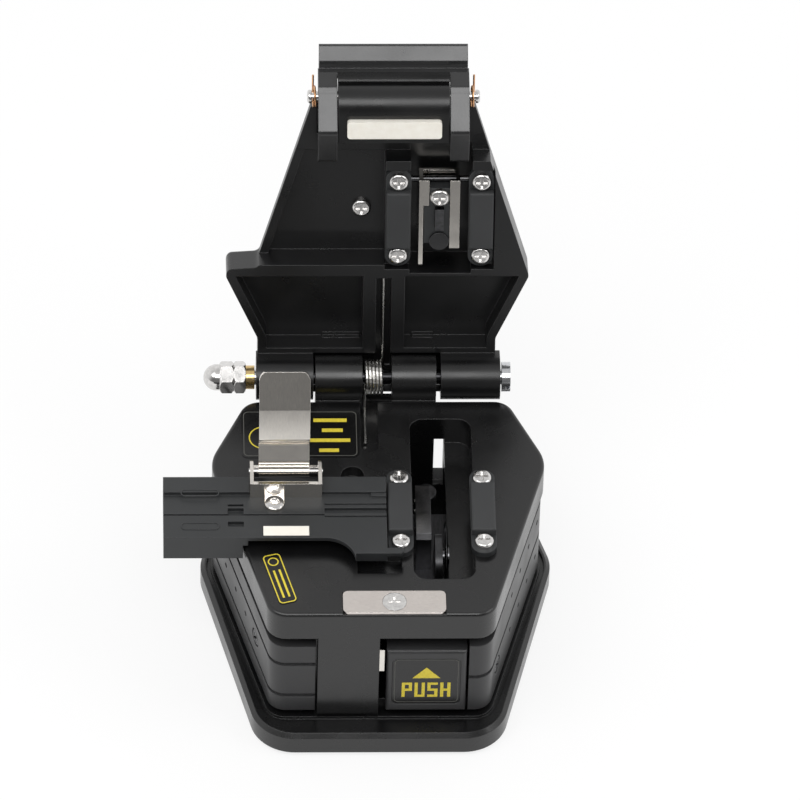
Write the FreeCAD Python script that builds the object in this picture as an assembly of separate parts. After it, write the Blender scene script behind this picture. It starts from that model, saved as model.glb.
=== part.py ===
import FreeCAD, Part
import math
import os

# Fibre cleaver: a six-sided body on a pedestal, with a sprung cutting carriage in it and a lid that
# swings over the fibre. Millimetres. X runs to the right, Y to the rear and Z up, from the middle of
# the underside. The lid is drawn standing open.

# ---- Driving dimensions ----

# Stand and body heights
SOLE_THICK = 0.9
PLATE_THICK = 4.75
BODY_HEIGHT = 29.35
LIP_THICK = 6.8
COVER_LIP_GAP = 2.8
COVER_FOOT_GAP = 1.55

# Body in plan: half widths at the back, the waist and the front
BACK_Y = 26.0
WAIST_Y = 10.3
FRONT_Y = -29.1
BACK_HALF = 25.1
WAIST_HALF = 32.4
FRONT_HALF = 21.0
FRONT_CORNER_R = 4.0
WAIST_CORNER_R = 8.5
DECK_EDGE_R = 0.7

# Pedestal in plan, beyond the body
PLATE_BACK_MARGIN = 7.3
PLATE_FRONT_MARGIN = 4.9
PLATE_SIDE_MARGIN = 1.8
PLATE_CORNER_R = 8.6
PLATE_EDGE = 0.8
SOLE_INSET = 1.5
GROOVE_WIDTH = 0.8
GROOVE_DEPTH = 0.6

# Side covers
COVER_RECESS = 0.4
COVER_THICK = 3.0
COVER_FIT = 0.15
COVER_SEAM = 0.4
SEAM_DEPTH = 0.45
VENT_R = 0.55

# Front column and the carriage bay
COLUMN_LEFT_X = -12.4
BAY_LEFT_X = -0.3
BAY_WIDTH = 17.1
BAY_FLOOR_GAP = 1.2

# Blade well through the deck
WELL_X = 6.2
WELL_WIDTH = 11.8
WELL_FRONT_Y = -20.0
WELL_LENGTH = 41.1
WELL_R = 2.6
LEDGE_X = 13.05
LEDGE_TOP = 28.4
LEDGE_THICK = 2.8
KEY_SLOT_WIDTH = 2.0
KEY_SLOT_BOTTOM = 16.4
KEY_SLOT_HEIGHT = 12.95

# Hinge
HINGE_BEHIND = 4.05
HINGE_RISE = 2.3
KNUCKLE_R = 4.35
BOLT_R = 1.5
RUN_FIT = 0.05
SPRING_ROOM_X = -2.75
SPRING_ROOM = 5.65
BASE_LEFT_KNUCKLE = 9.05
BASE_RIGHT_KNUCKLE = 8.55
KNUCKLE_GAP = 0.4
RIGHT_KNUCKLE_GAP = 0.9
LID_LEFT_KNUCKLE = 11.0
LID_RIGHT_KNUCKLE = 11.45
KNUCKLE_RELIEF = 0.35
LID_OPEN_DEG = 106.3
BOLT_HEAD_R = 2.9
BOLT_HEAD = 1.7
BUSH_R = 2.3
BUSH_LENGTH = 1.7
NUT_FLATS = 5.5
HEX_NUT = 2.3
ACORN_NUT = 2.7
ACORN_DOME_R = 2.55
END_PLAY = 0.3

# Lid spring
SPRING_WIRE = 0.62
WIRE_FLATS = 8
LID_SPRING_R = 3.2
LID_SPRING_TURNS = 6
NOTCH_X = -3.2
NOTCH_WIDTH = 3.4
NOTCH_LENGTH = 13.6
NOTCH_DEPTH = 1.6

# Fibre rests: a holder with a raised rubber bar, held by two screws
PAD_Y = -3.9
PAD_LEFT_X = 3.85
PAD_RIGHT_X = 19.7
PAD_WIDTH = 4.85
PAD_LENGTH = 21.4
PAD_THICK = 1.3
PAD_SCREW_PITCH = 16.2
RUBBER_LENGTH = 12.3
RUBBER_RISE = 1.7
PAD_NIP = 0.3
PAD_SCREW_R = 1.85
PAD_SCREW_HEAD = 1.1
SCREW_SHANK_R = 1.0
SCREW_LENGTH = 4.0
SCREW_FIT = 0.05
RECESS_REACH = 0.62
RECESS_HALF = 0.25

# Round hole in the deck beside the guide
DECK_HOLE_X = -5.0
DECK_HOLE_Y = 6.6
DECK_HOLE_R = 2.2
DECK_HOLE_DEPTH = 2.5

# Strike plate for the lid's magnet
STRIKE_X = 2.35
STRIKE_WIDTH = 19.5
STRIKE_DEPTH = 5.5
STRIKE_THICK = 0.8
STRIKE_EDGE = 0.3
STRIKE_SCREW_R = 2.3

# Fibre guide
GUIDE_LEFT_X = -41.3
GUIDE_RIGHT_X = 1.2
GUIDE_GAP = 1.0
GUIDE_RISE = 3.2
GUIDE_FRONT_Y = -12.3
RAIL_FRONT_Y = -1.3
RAIL_BACK_Y = 2.6
RAIL_HEIGHT = 0.8
FIBRE_Y = -5.3
FIBRE_CHANNEL = 1.2
FIBRE_GROOVE = 0.4
SIDE_GROOVE_PITCH = 1.55
LEFT_GROOVE_Y = -6.4
COMB_X = -10.6
HOOK_RIGHT_X = -25.2
HOOK_DROP = 5.8
FOOT_LEFT_X = -4.8
FOOT_RIGHT_X = 4.3
FOOT_FRONT_Y = -16.3
POCKET_REACH = 2.3
POCKET_DEPTH = 1.6
FOOT_CLEAR = 0.3
GUIDE_LIP = 0.9
GUIDE_REBATE = 2.5
GUIDE_NOTCH_X = -29.0
GUIDE_NOTCH = 3.0
GUIDE_NOTCH_ROWS = ((-4.2, -3.7), (-6.2, -4.7), (-9.4, -8.1))
RAIL_BLOCK_X = -1.7
RAIL_BLOCK_RISE = 0.45
MAGNET_LENGTH = 8.7
MAGNET_WIDTH = 2.4
MAGNET_X = -22.3
MAGNET_Y = -11.7
MAGNET_SINK = 0.8

# Clip that holds the fibre down in the guide
CLIP_LEFT_X = -24.75
CLIP_WIDTH = 13.7
CLIP_SHEET = 0.7
CLIP_BACK_Y = 4.0
CLIP_FRONT_HEIGHT = 3.8
CLIP_PIN_BEHIND = 3.2
CLIP_PIN_RISE = 3.2
CLIP_PIN_R = 0.55
LEAF_WIDTH = 9.7
LEAF_OFFSET = 0.35
BRACKET_SCREW_X = -20.1
BRACKET_SCREW_Y = -3.95
BRACKET_SCREW_R = 1.85
BRACKET_SCREW_HEAD = 0.85
BRACKET_SHANK_R = 0.8
BRACKET_SHANK = 2.4
SOCKET_R = 0.95
SOCKET_DEPTH = 0.6
LEAF_THICK = 0.5
LEAF_REACH = 21.9
LEAF_STEP = 5.8
LEAF_SEAT = 8.4
LEAF_TAB = 15.4
LEAF_TAB_RISE = 2.9
LEAF_BEND_R = 0.9
LEAF_CORNER_R = 1.9

# Cutting carriage
BUTTON_FOOT_GAP = 0.3
BUTTON_TOP = 24.4
BUTTON_DEPTH = 6.0
BUTTON_GAP = 0.4
LABEL_DEPTH = 0.3
LABEL_SIZE = 13.1
CARRIAGE_BACK_Y = 6.0
RAIL_THICK = 1.0
SLIDE_RAIL_HEIGHT = 6.0
SLIDE_RAIL_Z = 18.3
CHEEK_THICK = 1.4
CHEEK_RISE = 9.6
CHEEK_LENGTH = 12.0
BLADE_X = 12.45
BLADE_R = 6.9
BLADE_THICK = 0.6
BLADE_BITE = 0.05
AXLE_R = 1.5
AXLE_HEAD_R = 2.2
AXLE_HEAD = 0.35
BLADE_GAP = 0.3
BLADE_BEHIND = 9.2
RAMP_X = 6.95
RAMP_THICK = 2.9
RAMP_FRONT_Y = -8.2
RAMP_LENGTH = 13.9
RAMP_BELOW_DECK = 1.2
RAMP_BEVEL = 0.9
RAMP_ROLLER_R = 2.0
RAMP_ROLLER_X = 9.0
RAMP_ROLLER_THICK = 1.1
RAMP_ROLLER_UNDER = 0.35
RETURN_SPRING_R = 2.6
RETURN_WIRE = 0.7
RETURN_TURNS = 8
RETURN_POCKET = 17.0

# Lid, measured forward from the hinge line and up from it, as it lies when shut
LID_UNDER = 1.7
LID_EDGE_TOP = 9.2
LID_SPINE_TOP = 12.6
LID_WAIST = 21.5
LID_WAIST_HALF = 29.1
LID_TAIL_HALF = 22.9
LID_TAIL = 7.7
LID_FRONT = 56.6
LID_FRONT_LEFT_X = -13.0
LID_FRONT_RIGHT_X = 18.3
LID_EAR_FRONT = 23.1
LID_EAR_NECK_X = -22.8
LID_RIM = 1.7
LID_TOP_R = 1.2
LID_ROOM_DEPTH = 4.9
LID_PANEL_DEPTH = 6.2
LID_PANEL_BACK = 24.0
LID_RIM_LIFT = 4.7
PANEL_SCREW_D = 33.45
PANEL_SCREW_X = -3.1
LID_STEP = 46.9
LID_STEP_DEPTH = 4.6
LID_RIB_LEFT_X = -2.7
LID_RIB_RIGHT_X = 5.3
LID_CHANNEL_X = -0.2
LID_CHANNEL = 2.9
LID_WELL_DEPTH = 8.3
LID_WELL_BACK = 22.2
SPINE_LEFT_X = -3.0
SPINE_RIGHT_X = 18.5
SPINE_BACK = 14.0
SPINE_FRONT = 50.4
SPINE_BEVEL = 2.0
STOP_PAD_BACK = 2.0
STOP_PAD_FRONT = 6.2
STOP_PAD_DEPTH = 1.0
NOSE_X = -7.9
NOSE_WIDTH = 21.2
NOSE_BACK = 51.6
NOSE_UNDER = 0.5
NOSE_R = 4.4
NOSE_CENTRE = 57.7
LID_MAGNET_WIDTH = 18.0
LID_MAGNET_DEPTH = 3.6
MAGNET_PROUD = 1.2
LID_MAGNET_X = -6.2
LID_MAGNET_BACK = 1.15
MAGNET_CORNER_R = 0.6

# Release lever at the front of the lid
LEVER_AXIS = 58.7
LEVER_AXIS_RISE = 6.0
ARM_WIDTH = 3.65
ARM_GAP = 0.15
ARM_BOSS_R = 3.0
ARM_TIP = 47.2
ARM_TOE = 54.5
ARM_ROOM_BACK = 50.5
ARM_ROOM = 1.5
COVE_R = 4.6
BAR_FRONT = 67.2
BAR_TOP = 13.0
BAR_UNDER = 9.3
BAR_LIP = 63.0
PIVOT_HEAD_R = 1.3
PIVOT_HEAD = 0.8
LEVER_SPRING_R = 2.15
LEVER_SPRING_WIRE = 0.4
LEVER_SPRING_TURNS = 1.5

# Anvil arm in the lid
ANVIL_AXIS = 40.9
ANVIL_AXIS_RISE = 5.6
ANVIL_X = 7.8
ANVIL_WIDTH = 7.8
ANVIL_SHEET = 0.8
ANVIL_PIN_R = 0.6
ANVIL_END = 27.2
ANVIL_LONG_END = 23.1
ANVIL_LEG_UNDER = 2.6
ANVIL_TIP_D = 33.95
ANVIL_TIP_CLEAR = 0.9
ANVIL_TIP_WIDTH = 1.7
ANVIL_TIP_LENGTH = 4.6
ANVIL_TIP_SINK = 1.0
ANVIL_SCREW_D = 38.5
ANVIL_BLOCK_SINK = 0.3
ANVIL_NOSE = 1.2
ANVIL_FLANGE = 1.9
ANVIL_FLANGE_BACK = 36.6
ANVIL_ROLLER_R = 1.9
ANVIL_ROLLER_HEAD = 0.5
ANVIL_ROLLER_SHANK = 1.8
ANVIL_ROLLER_IN = 1.6

# ---- Derived sizes ----

PLATE_TOP = SOLE_THICK + PLATE_THICK
DECK = PLATE_TOP + BODY_HEIGHT
LIP_UNDER = DECK - LIP_THICK
COVER_TOP = LIP_UNDER - COVER_LIP_GAP
COVER_FOOT = PLATE_TOP + COVER_FOOT_GAP
BAY_RIGHT_X = BAY_LEFT_X + BAY_WIDTH
BAY_FLOOR = PLATE_TOP + BAY_FLOOR_GAP
WELL_BACK_Y = WELL_FRONT_Y + WELL_LENGTH
HINGE_Y = BACK_Y + HINGE_BEHIND
HINGE_Z = DECK + HINGE_RISE
BASE_LEFT_X = SPRING_ROOM_X - BASE_LEFT_KNUCKLE
BASE_RIGHT_X = SPRING_ROOM_X + SPRING_ROOM
BASE_RIGHT_END = BASE_RIGHT_X + BASE_RIGHT_KNUCKLE
LID_LEFT_START = BASE_LEFT_X - KNUCKLE_GAP
LID_LEFT_END = LID_LEFT_START - LID_LEFT_KNUCKLE
LID_RIGHT_START = BASE_RIGHT_END + RIGHT_KNUCKLE_GAP
LID_RIGHT_END = LID_RIGHT_START + LID_RIGHT_KNUCKLE
PAD_TOP = DECK + PAD_THICK
FIBRE_Z = PAD_TOP + RUBBER_RISE
GUIDE_TOP = DECK + GUIDE_RISE
RAIL_TOP = GUIDE_TOP + RAIL_HEIGHT
CLIP_FRONT_Y = RAIL_FRONT_Y - CLIP_SHEET
CLIP_PIN_Y = RAIL_FRONT_Y + CLIP_PIN_BEHIND
CLIP_PIN_Z = GUIDE_TOP + CLIP_PIN_RISE
CLIP_RIGHT_X = CLIP_LEFT_X + CLIP_WIDTH
BUTTON_FOOT = BAY_FLOOR + BUTTON_FOOT_GAP
BUTTON_LEFT_X = BAY_LEFT_X + RAIL_THICK + BUTTON_GAP
BUTTON_RIGHT_X = BAY_RIGHT_X - BUTTON_GAP
BUTTON_BACK_Y = FRONT_Y + BUTTON_DEPTH
AXLE_Z = FIBRE_Z + BLADE_BITE - BLADE_R
BLADE_Y = WELL_FRONT_Y + BLADE_BEHIND
NOSE_RIGHT_X = NOSE_X + NOSE_WIDTH
NOSE_RISE = NOSE_UNDER + NOSE_R
LEFT_ARM_X = NOSE_X - ARM_GAP - ARM_WIDTH
RIGHT_ARM_X = NOSE_RIGHT_X + ARM_GAP
LID_SEAT = PAD_NIP + RUBBER_RISE + PAD_THICK + FIBRE_Z - HINGE_Z

X_DIR = FreeCAD.Vector(1, 0, 0)
Y_DIR = FreeCAD.Vector(0, 1, 0)
Z_DIR = FreeCAD.Vector(0, 0, 1)


# ---- Helpers ----

def block(x0, x1, y0, y1, z0, z1):
    """A box between two corners."""
    return Part.makeBox(x1 - x0, y1 - y0, z1 - z0, FreeCAD.Vector(x0, y0, z0))


def rod(radius, start, direction, length):
    """A cylinder from a start point."""
    return Part.makeCylinder(radius, length, FreeCAD.Vector(*start), direction)


def rounded_face(points, radii):
    """A flat face through points, with an arc of the given radius at each corner."""
    count = len(points)
    edges = []
    arcs = []
    for i in range(count):
        corner = points[i]
        before = (points[i - 1] - corner).normalize()
        after = (points[(i + 1) % count] - corner).normalize()
        radius = radii[i]
        if radius <= 0:
            arcs.append((corner, None, corner))
            continue
        half = before.getAngle(after) / 2
        setback = radius / math.tan(half)
        inward = (before + after).normalize()
        middle = corner + inward * (radius / math.sin(half) - radius)
        arcs.append((corner + before * setback, middle, corner + after * setback))
    for i in range(count):
        start, middle, end = arcs[i]
        if middle is not None:
            edges.append(Part.Arc(start, middle, end).toShape())
        following = arcs[(i + 1) % count][0]
        if end.distanceToPoint(following) > 1e-6:
            edges.append(Part.makeLine(end, following))
    return Part.Face(Part.Wire(edges))


def plan_prism(outline, radii, z0, z1):
    """An outline in X and Y, raised from z0 to z1."""
    points = [FreeCAD.Vector(x, y, z0) for x, y in outline]
    return rounded_face(points, radii).extrude(Z_DIR * (z1 - z0))


def side_prism(outline, radii, x0, x1):
    """An outline in Y and Z, carried along X from x0 to x1."""
    points = [FreeCAD.Vector(x0, y, z) for y, z in outline]
    return rounded_face(points, radii).extrude(X_DIR * (x1 - x0))


def body_outline(grow):
    """The six-sided plan of the body, moved outwards by grow."""
    points = [FreeCAD.Vector(x, y, 0) for x, y in (
        (-BACK_HALF, BACK_Y), (-WAIST_HALF, WAIST_Y), (-FRONT_HALF, FRONT_Y),
        (FRONT_HALF, FRONT_Y), (WAIST_HALF, WAIST_Y), (BACK_HALF, BACK_Y))]
    radii = [FRONT_CORNER_R, WAIST_CORNER_R, FRONT_CORNER_R] * 2
    face = rounded_face(points, radii)
    if grow == 0:
        return face
    return face.makeOffset2D(grow)


def body_prism(grow, z0, z1):
    """The body's plan, grown, between two heights."""
    face = body_outline(grow)
    face.translate(Z_DIR * z0)
    return face.extrude(Z_DIR * (z1 - z0))


def edges_at_height(shape, z):
    """Edges that lie flat at one height."""
    return [edge for edge in shape.Edges
            if abs(edge.BoundBox.ZMin - z) < 1e-4 and abs(edge.BoundBox.ZMax - z) < 1e-4]


def pan_screw(head_r, head_height, shank_r, shank_length):
    """A cross-recessed screw along Z, with the underside of its head at the origin."""
    head = rod(head_r, (0, 0, 0), Z_DIR, head_height)
    rim = [edge for edge in edges_at_height(head, head_height)]
    head = head.makeFillet(head_height * 0.55, rim)
    slot = head_r * RECESS_REACH
    recess = block(-slot, slot, -RECESS_HALF, RECESS_HALF, head_height * 0.5, head_height + 1)
    recess = recess.fuse(block(-RECESS_HALF, RECESS_HALF, -slot, slot, head_height * 0.5, head_height + 1))
    return head.cut(recess).fuse(rod(shank_r, (0, 0, -shank_length), Z_DIR, shank_length))


def helix_spring(radius, wire_r, length, turns):
    """A coil along Z from the origin, of the given mean radius, in wire with flats."""
    path = Part.makeHelix(length / turns, length, radius)
    corners = []
    for i in range(WIRE_FLATS + 1):
        angle = 2 * math.pi * i / WIRE_FLATS
        corners.append(FreeCAD.Vector(radius + wire_r * math.cos(angle), 0, wire_r * math.sin(angle)))
    section = Part.makePolygon(corners)
    return Part.Wire(path).makePipeShell([section], True, True)


def along_x(shape):
    """Turns a shape drawn along Z to lie along X."""
    shape.rotate(FreeCAD.Vector(0, 0, 0), Y_DIR, 90)
    return shape


def placed(shape, x, y, z):
    """A copy of a shape moved to a point."""
    copy = shape.copy()
    copy.translate(FreeCAD.Vector(x, y, z))
    return copy


def lid_yz(forward, rise):
    """The place in Y and Z of a point on the shut lid."""
    return (HINGE_Y - forward, HINGE_Z + rise)


def lid_block(x0, x1, d0, d1, h0, h1):
    """A box on the shut lid, by distance forward of the hinge and rise above it."""
    return block(x0, x1, HINGE_Y - d1, HINGE_Y - d0, HINGE_Z + h0, HINGE_Z + h1)


def lid_side_prism(outline, radii, x0, x1):
    """An outline of forward distances and rises, carried along X on the shut lid."""
    return side_prism([lid_yz(d, h) for d, h in outline], radii, x0, x1)


def opened(shape):
    """Turns a shape drawn on the shut lid to where it stands open."""
    copy = shape.copy()
    copy.rotate(FreeCAD.Vector(0, HINGE_Y, HINGE_Z), X_DIR, -LID_OPEN_DEG)
    return copy


def opened_clip(shape):
    """Turns the shut clip leaf to where it stands open."""
    copy = shape.copy()
    copy.rotate(FreeCAD.Vector(0, CLIP_PIN_Y, CLIP_PIN_Z), X_DIR, -LID_OPEN_DEG)
    return copy


def bent_strip(path, thickness, bend_r, x0, x1):
    """Sheet metal bent along a path in Y and Z, and x0 to x1 wide."""
    def side(sign):
        points = []
        radii = []
        for i, (y, z) in enumerate(path):
            here = FreeCAD.Vector(0, y, z)
            arriving = leaving = None
            if i > 0:
                arriving = (here - FreeCAD.Vector(0, *path[i - 1])).normalize()
            if i < len(path) - 1:
                leaving = (FreeCAD.Vector(0, *path[i + 1]) - here).normalize()
            one = arriving or leaving
            two = leaving or arriving
            normal_one = X_DIR.cross(one)
            normal_two = X_DIR.cross(two)
            mitre = (normal_one + normal_two).normalize()
            reach = thickness / 2 / mitre.dot(normal_one)
            spot = here + mitre * reach * sign
            points.append((spot.y, spot.z))
            turn = one.cross(two).x
            bend = 0
            if arriving is not None and leaving is not None:
                bend = bend_r - math.copysign(thickness / 2, turn) * sign
            radii.append(bend)
        return points, radii
    left, left_r = side(1)
    right, right_r = side(-1)
    return side_prism(left + right[::-1], left_r + right_r[::-1], x0, x1)


def export(name, *shapes):
    """Writes a node's solids to its STEP file."""
    solids = [solid for shape in shapes for solid in shape.removeSplitter().Solids]
    shape = solids[0] if len(solids) == 1 else Part.makeCompound(solids)
    shape.exportStep(os.path.join("parts", name + ".step"))


# ---- Stand ----

def plate_prism(inset, z0, z1):
    """The pedestal's plan, drawn in by inset."""
    back = BACK_Y + PLATE_BACK_MARGIN
    front = FRONT_Y - PLATE_FRONT_MARGIN
    back_half = BACK_HALF + PLATE_SIDE_MARGIN
    waist_half = WAIST_HALF + PLATE_SIDE_MARGIN
    front_half = FRONT_HALF + PLATE_SIDE_MARGIN
    points = [FreeCAD.Vector(x, y, z0) for x, y in (
        (-back_half, back), (-waist_half, WAIST_Y), (-front_half, front),
        (front_half, front), (waist_half, WAIST_Y), (back_half, back))]
    face = rounded_face(points, [PLATE_CORNER_R] * len(points))
    if inset:
        face = face.makeOffset2D(-inset)
    return face.extrude(Z_DIR * (z1 - z0))


def make_foot_pad():
    """Rubber sole under the pedestal."""
    return plate_prism(SOLE_INSET, 0, SOLE_THICK)


def make_base_plate():
    """Cast pedestal with a bevelled rim and a groove round the body's foot."""
    plate = plate_prism(0, SOLE_THICK, PLATE_TOP)
    plate = plate.makeChamfer(PLATE_EDGE, edges_at_height(plate, PLATE_TOP))
    moat_out = body_prism(GROOVE_WIDTH, PLATE_TOP - GROOVE_DEPTH, PLATE_TOP + 1)
    moat_in = body_prism(0, PLATE_TOP - GROOVE_DEPTH, PLATE_TOP + 1)
    plate = plate.cut(moat_out.cut(moat_in))
    for x, y in base_screw_places():
        plate = plate.cut(rod(SCREW_SHANK_R + SCREW_FIT, (x, y, SOLE_THICK), Z_DIR, PLATE_THICK))
        plate = plate.cut(rod(PAD_SCREW_R + SCREW_FIT, (x, y, SOLE_THICK), Z_DIR, PAD_SCREW_HEAD))
    return plate


def base_screw_places():
    """Where the pedestal is screwed to the body."""
    inset = COVER_RECESS + COVER_THICK + 2 * PAD_SCREW_R
    return [(-FRONT_HALF + 2 * inset, FRONT_Y + 2 * inset), (FRONT_HALF - inset / 2, FRONT_Y + 2 * inset),
            (-BACK_HALF + inset, BACK_Y - 2 * inset), (BACK_HALF - inset, BACK_Y - 2 * inset)]


def make_base_screws():
    """Screws up through the pedestal into the body."""
    length = PLATE_THICK - PAD_SCREW_HEAD + SCREW_LENGTH
    screw = pan_screw(PAD_SCREW_R, PAD_SCREW_HEAD, SCREW_SHANK_R, length)
    screw.rotate(FreeCAD.Vector(0, 0, 0), X_DIR, 180)
    return [placed(screw, x, y, SOLE_THICK + PAD_SCREW_HEAD) for x, y in base_screw_places()]


# ---- Body ----

def core_prism(z0, z1):
    """The body's core inside the side covers."""
    return body_prism(-(COVER_RECESS + COVER_THICK + COVER_FIT), z0, z1)


def key_slot():
    """The slot through the back wall, in line with the blade well."""
    x = WELL_X + WELL_WIDTH / 2 - KEY_SLOT_WIDTH / 2
    return block(x, x + KEY_SLOT_WIDTH, WELL_BACK_Y - 1, BACK_Y + 1,
                 KEY_SLOT_BOTTOM, KEY_SLOT_BOTTOM + KEY_SLOT_HEIGHT)


def hinge_lug(x0, length):
    """A knuckle on the body, webbed to the deck's back edge."""
    x1 = x0 + length
    knuckle = rod(KNUCKLE_R, (x0, HINGE_Y, HINGE_Z), X_DIR, length)
    outline = [(BACK_Y - 3, LIP_UNDER), (BACK_Y - 3, DECK), (BACK_Y, DECK),
               (HINGE_Y - KNUCKLE_R * 0.8, HINGE_Z + KNUCKLE_R * 0.4),
               (HINGE_Y + KNUCKLE_R, HINGE_Z), (HINGE_Y + KNUCKLE_R * 0.9, HINGE_Z - KNUCKLE_R * 0.6),
               (BACK_Y, LIP_UNDER)]
    web = side_prism(outline, [0] * len(outline), x0, x1)
    reach = rod(KNUCKLE_R, (x0, HINGE_Y, HINGE_Z), X_DIR, length)
    front = block(x0, x1, BACK_Y - 3, HINGE_Y, LIP_UNDER, HINGE_Z)
    return knuckle.fuse(web.common(front.fuse(reach)))


def make_main_body():
    """The body casting: deck, core, front column, hinge lugs, carriage bay and blade well."""
    deck = body_prism(0, LIP_UNDER, DECK)
    deck = deck.makeFillet(DECK_EDGE_R, edges_at_height(deck, DECK))
    column = block(COLUMN_LEFT_X + COVER_SEAM, BAY_LEFT_X, FRONT_Y,
                   FRONT_Y + COVER_RECESS + COVER_THICK + 1, PLATE_TOP, LIP_UNDER)
    lug_web = block(BASE_LEFT_X, BASE_RIGHT_END, BACK_Y - 1, HINGE_Y, LIP_UNDER, DECK - NOTCH_DEPTH)
    body = deck.fuse([core_prism(PLATE_TOP, LIP_UNDER), column, lug_web,
                      hinge_lug(BASE_LEFT_X, BASE_LEFT_KNUCKLE), hinge_lug(BASE_RIGHT_X, BASE_RIGHT_KNUCKLE)])
    body = body.cut(block(BAY_LEFT_X, BAY_RIGHT_X, FRONT_Y - 1, WELL_BACK_Y, BAY_FLOOR, LIP_UNDER))
    well_right = WELL_X + WELL_WIDTH
    ledge_under = LEDGE_TOP - LEDGE_THICK
    well = plan_prism(
        [(WELL_X, WELL_FRONT_Y), (well_right, WELL_FRONT_Y), (well_right, WELL_BACK_Y), (WELL_X, WELL_BACK_Y)],
        [WELL_R] * 4, ledge_under, DECK + 1)
    ledge = block(LEDGE_X, well_right + 1, WELL_FRONT_Y - 1, WELL_BACK_Y + 1, ledge_under, LEDGE_TOP)
    body = body.cut([well, key_slot(), lid_spring_notch(), cover_room()]).fuse(ledge.common(core_prism(0, DECK)))
    body = body.cut(rod(BOLT_R + SCREW_FIT, (BASE_LEFT_X - 1, HINGE_Y, HINGE_Z), X_DIR,
                        BASE_RIGHT_END - BASE_LEFT_X + 2))
    body = body.cut(knuckle_room())
    body = body.cut(rod(DECK_HOLE_R, (DECK_HOLE_X, DECK_HOLE_Y, DECK - DECK_HOLE_DEPTH), Z_DIR, DECK_HOLE_DEPTH + 1))
    body = body.cut(block(FOOT_LEFT_X + FOOT_CLEAR, FOOT_RIGHT_X - FOOT_CLEAR, FOOT_FRONT_Y - POCKET_REACH,
                          FOOT_FRONT_Y + POCKET_REACH, DECK - POCKET_DEPTH, DECK + 1))
    body = body.cut(block(STRIKE_X - STRIKE_WIDTH / 2 - SCREW_FIT, STRIKE_X + STRIKE_WIDTH / 2 + SCREW_FIT,
                          FRONT_Y + STRIKE_EDGE - SCREW_FIT, FRONT_Y + STRIKE_EDGE + STRIKE_DEPTH + SCREW_FIT,
                          DECK - STRIKE_THICK / 2, DECK + 1))
    holes = []
    for x in (PAD_LEFT_X, PAD_RIGHT_X):
        for y in pad_screw_rows():
            holes.append(screw_hole(x, y, DECK))
    holes.append(screw_hole(STRIKE_X, strike_middle(), DECK))
    for x, y in base_screw_places():
        holes.append(rod(SCREW_SHANK_R + SCREW_FIT, (x, y, PLATE_TOP), Z_DIR, SCREW_LENGTH + SCREW_FIT))
    for side in (-1, 1):
        for start, inward in cover_screw_places(side):
            holes.append(rod(SCREW_SHANK_R + SCREW_FIT, start, inward, COVER_THICK + SCREW_LENGTH))
    return body.cut(holes)


def screw_hole(x, y, top):
    """A blind hole for a small screw."""
    return rod(SCREW_SHANK_R + SCREW_FIT, (x, y, top - SCREW_LENGTH), Z_DIR, SCREW_LENGTH + 1)


def knuckle_room():
    """Space round the lid's own knuckles and round the spring."""
    radius = KNUCKLE_R + KNUCKLE_RELIEF
    middle = rod(radius, (SPRING_ROOM_X, HINGE_Y, HINGE_Z), X_DIR, SPRING_ROOM)
    left = rod(radius, (LID_LEFT_END - 1, HINGE_Y, HINGE_Z), X_DIR, BASE_LEFT_X - LID_LEFT_END + 1)
    right = rod(radius, (BASE_RIGHT_END, HINGE_Y, HINGE_Z), X_DIR, LID_RIGHT_END - BASE_RIGHT_END + 1)
    return Part.makeCompound([middle, left, right])


def lid_spring_notch():
    """The round-ended notch in the deck for the spring's lower arm."""
    end_y = BACK_Y - NOTCH_LENGTH + NOTCH_WIDTH / 2
    middle_x = NOTCH_X + NOTCH_WIDTH / 2
    notch = block(NOTCH_X, NOTCH_X + NOTCH_WIDTH, end_y, BACK_Y + 1, DECK - NOTCH_DEPTH, DECK + 1)
    return notch.fuse(rod(NOTCH_WIDTH / 2, (middle_x, end_y, DECK - NOTCH_DEPTH), Z_DIR, NOTCH_DEPTH + 1))


def cover_room():
    """Nothing of the core stands in front of the covers' flat front ends."""
    left = block(-FRONT_HALF * 2, COLUMN_LEFT_X, FRONT_Y - 1,
                 FRONT_Y + COVER_RECESS + COVER_THICK + COVER_FIT, PLATE_TOP, LIP_UNDER)
    right = block(BAY_RIGHT_X, FRONT_HALF * 2, FRONT_Y - 1,
                  FRONT_Y + COVER_RECESS + COVER_THICK + COVER_FIT, PLATE_TOP, LIP_UNDER)
    return Part.makeCompound([left, right])


def cover_ring():
    """Both side covers in one ring."""
    ring = body_prism(-COVER_RECESS, COVER_FOOT, COVER_TOP)
    return ring.cut(body_prism(-(COVER_RECESS + COVER_THICK), COVER_FOOT - 1, COVER_TOP + 1))


def seam(z):
    """A shallow groove round the covers at one height."""
    outer = body_prism(1, z - SEAM_DEPTH, z + SEAM_DEPTH)
    return outer.cut(body_prism(-COVER_RECESS - SEAM_DEPTH, z - SEAM_DEPTH, z + SEAM_DEPTH))


def side_point(side, y, z, out):
    """A point on a front side face, out beyond the covers' skin, with the inward direction."""
    run = FreeCAD.Vector(side * (WAIST_HALF - FRONT_HALF), WAIST_Y - FRONT_Y, 0).normalize()
    inward = FreeCAD.Vector(-side * run.y, side * run.x, 0)
    share = (y - FRONT_Y) / (WAIST_Y - FRONT_Y)
    x = side * (FRONT_HALF + share * (WAIST_HALF - FRONT_HALF))
    spot = FreeCAD.Vector(x, y, z) + inward * (COVER_RECESS - out)
    return (spot.x, spot.y, spot.z), inward


def cover_screw_places(side):
    """The screw that holds each cover, near its front."""
    if side < 0:
        return [side_point(side, -18.4, 16.4, 0)]
    return [side_point(side, -22.6, 13.2, 0)]


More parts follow.
